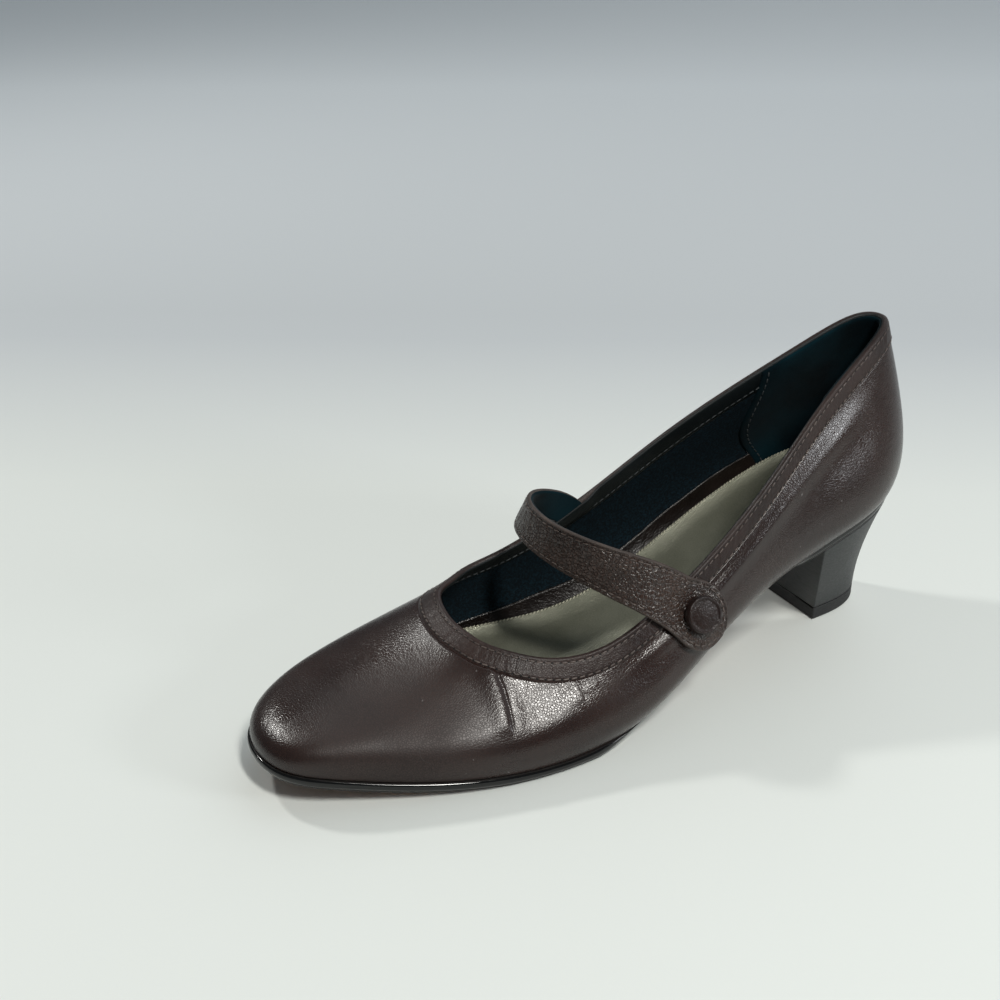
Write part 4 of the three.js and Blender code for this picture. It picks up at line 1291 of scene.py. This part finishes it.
# Wrinkles across the strap, deepest where it bends, and pinched folds round the button.
def strapRelief(places, across):
    run = (runLength(strapMiddle(np.minimum(places, 1))) + np.maximum(places - 1, 0))[:, None]
    bend = bell(places, 0.24, 0.12) + 0.55 * bell(places, 0.62, 0.22) + 0.25
    folds = softWaves(run * 1500 + across * 180, across * 500 + run * 120, 5)
    waves = softWaves(run * 3200, across * 900, 6)
    height = strap["foldHeight"] * bend[:, None] * np.minimum(folds, 0.25) + strap["waveHeight"] * waves
    seat = (places - 1)[:, None] - neckToButton
    angle = np.arctan2(across, seat)
    pinch = np.sin(angle * 26 + 2 * np.sin(angle * 5)) * bell(np.hypot(seat, across), 0.0084, 0.0016)
    onTab = (places > 1)[:, None] * smoothStep(0.4, 1.0, np.cos(angle - 0.4))
    return height + strap["pinchHeight"] * pinch * onTab


# The strap's section carried along its places: crowned leather, rim, lip and flat lining.
def makeStrap():
    places = strapRows()
    half = strapHalf(places)[:, None]
    count = strap["columns"]
    inner = half - strap["edge"]
    face = strap["thick"] / 2
    topAcross = np.linspace(1, -1, count + 1)[None, :] * np.maximum(inner, 0)
    fromEdge = half - np.abs(topAcross)
    groove = strap["groove"] * bell(fromEdge, strap["stitchInset"], 0.0005)
    crown = strap["crown"] * (1 - (topAcross / half) ** 4)
    relief = strapRelief(places, topAcross) * smoothStep(0, 0.002, fromEdge)
    topOut = face - strap["faceDrop"] + crown - groove + relief
    # The rim turns down to where the outer leather ends, and from there a lip leads round to the lining.
    turn = np.radians([60, 25, -10])
    rim = inner + strap["edge"] * np.cos(turn)[None, :]
    rimFoot = strap["thick"] * (strap["leatherShare"] - 0.5)
    rimOut = rimFoot + (face - rimFoot) * np.sin(turn)[None, :]
    lip = half - 0.0002
    # The sewn end is pared thin from its inner side.
    back = strap["thick"] * strap["skive"] * (1 - smoothStep(0.02, 0.22, places))[:, None] - face
    rimOut = np.maximum(rimOut, back)
    lipOut = np.maximum(-face * 0.2, back)
    across = np.concatenate([topAcross, -rim, -lip, -topAcross, lip, rim[:, ::-1]], axis=1)
    outs = np.concatenate([topOut, rimOut, lipOut, back + 0 * topAcross, lipOut, rimOut[:, ::-1]], axis=1)
    grid = closeEnds(strapPoint(places[:, None], across, outs))
    # Round each section: leather, its cut edge, the lining underneath, and the edge again.
    parts = np.array([0] * count + [1] * 4 + [2] * (count + 2) + [1] * 4)
    run = runLength(strapPoint(places, 0 * places, 0 * places))
    run, across = (np.concatenate([part[:1], part, part[-1:]]) for part in (run, across))
    runs = np.stack(np.broadcast_arrays(run[:, None], across, 0.0), -1)
    piece = loopSkin("strapLeather", grid, [surface["strap"], surface["strapEdge"], surface["suede"]],
                     loopMaterials=parts, run=runs)
    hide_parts("strap")
    # One line of stitches runs up one edge, round the tab and back along the other.
    inset = strap["stitchInset"]
    free = np.linspace(0.02, 1, 300)
    straight = 1 + np.linspace(0, neckToButton, 60)[1:]
    angle = np.linspace(np.pi / 2, -np.pi / 2, 90)[1:-1]
    reach = strap["tabRadius"] - inset
    upPlace = np.concatenate([free, straight])
    upAcross = strapHalf(upPlace) - inset
    place = np.concatenate([upPlace, 1 + neckToButton + reach * np.cos(angle), upPlace[::-1]])
    offset = np.concatenate([upAcross, reach * np.sin(angle), -upAcross[::-1]])
    height = face - strap["faceDrop"] + strap["crown"] - strap["stitchSink"]
    path = strapPoint(place, offset, np.full(len(place), height))
    above = strapPoint(place, offset, np.full(len(place), height + 0.001))
    seam = stitchRow("strapStitches", path, unit(above - path), thread, surface["thread"])
    print("strap", len(piece.data.polygons))


# The button: a leather-covered dome with a rolled rim, on the tab's face.
def makeButton():
    place, share = outerSideSpot(np.array(buttonAlong), np.array(buttonRise))
    seat = wallOffset(place, share, np.array(tabOut + strap["thick"] + shoe["fitGap"]))
    outward = unit(seat - wallPoint(place, share))
    side = unit(np.cross(outward, [0.0, 0.0, 1.0]))
    up = np.cross(side, outward)
    run = runLength(buttonKnots)
    fine = np.linspace(0, run[-1], button["rows"])
    out, high = (np.interp(fine, run, column)[:, None] for column in buttonKnots.T)
    turn = np.linspace(0, 2 * np.pi, button["around"], endpoint=False)
    radius = button["radius"] * out
    grain = button["grain"] * softWaves(radius * 1500 * np.cos(turn), radius * 1500 * np.sin(turn), 12)
    pleat = button["pleat"] * np.sin(turn * button["pleats"])[None, :] * bell(high, 0.3, 0.2)
    radius = (radius + pleat * (out > 0.5))[..., None]
    height = (button["height"] * high + grain * (high > 0.5))[..., None]
    spokes = np.cos(turn)[None, :, None] * side + np.sin(turn)[None, :, None] * up
    points = seat + radius * spokes + height * outward
    piece = loopSkin("buttonCover", points, [surface["button"]])
    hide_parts("button")
    print("button made")


makeStrap()
makeButton()
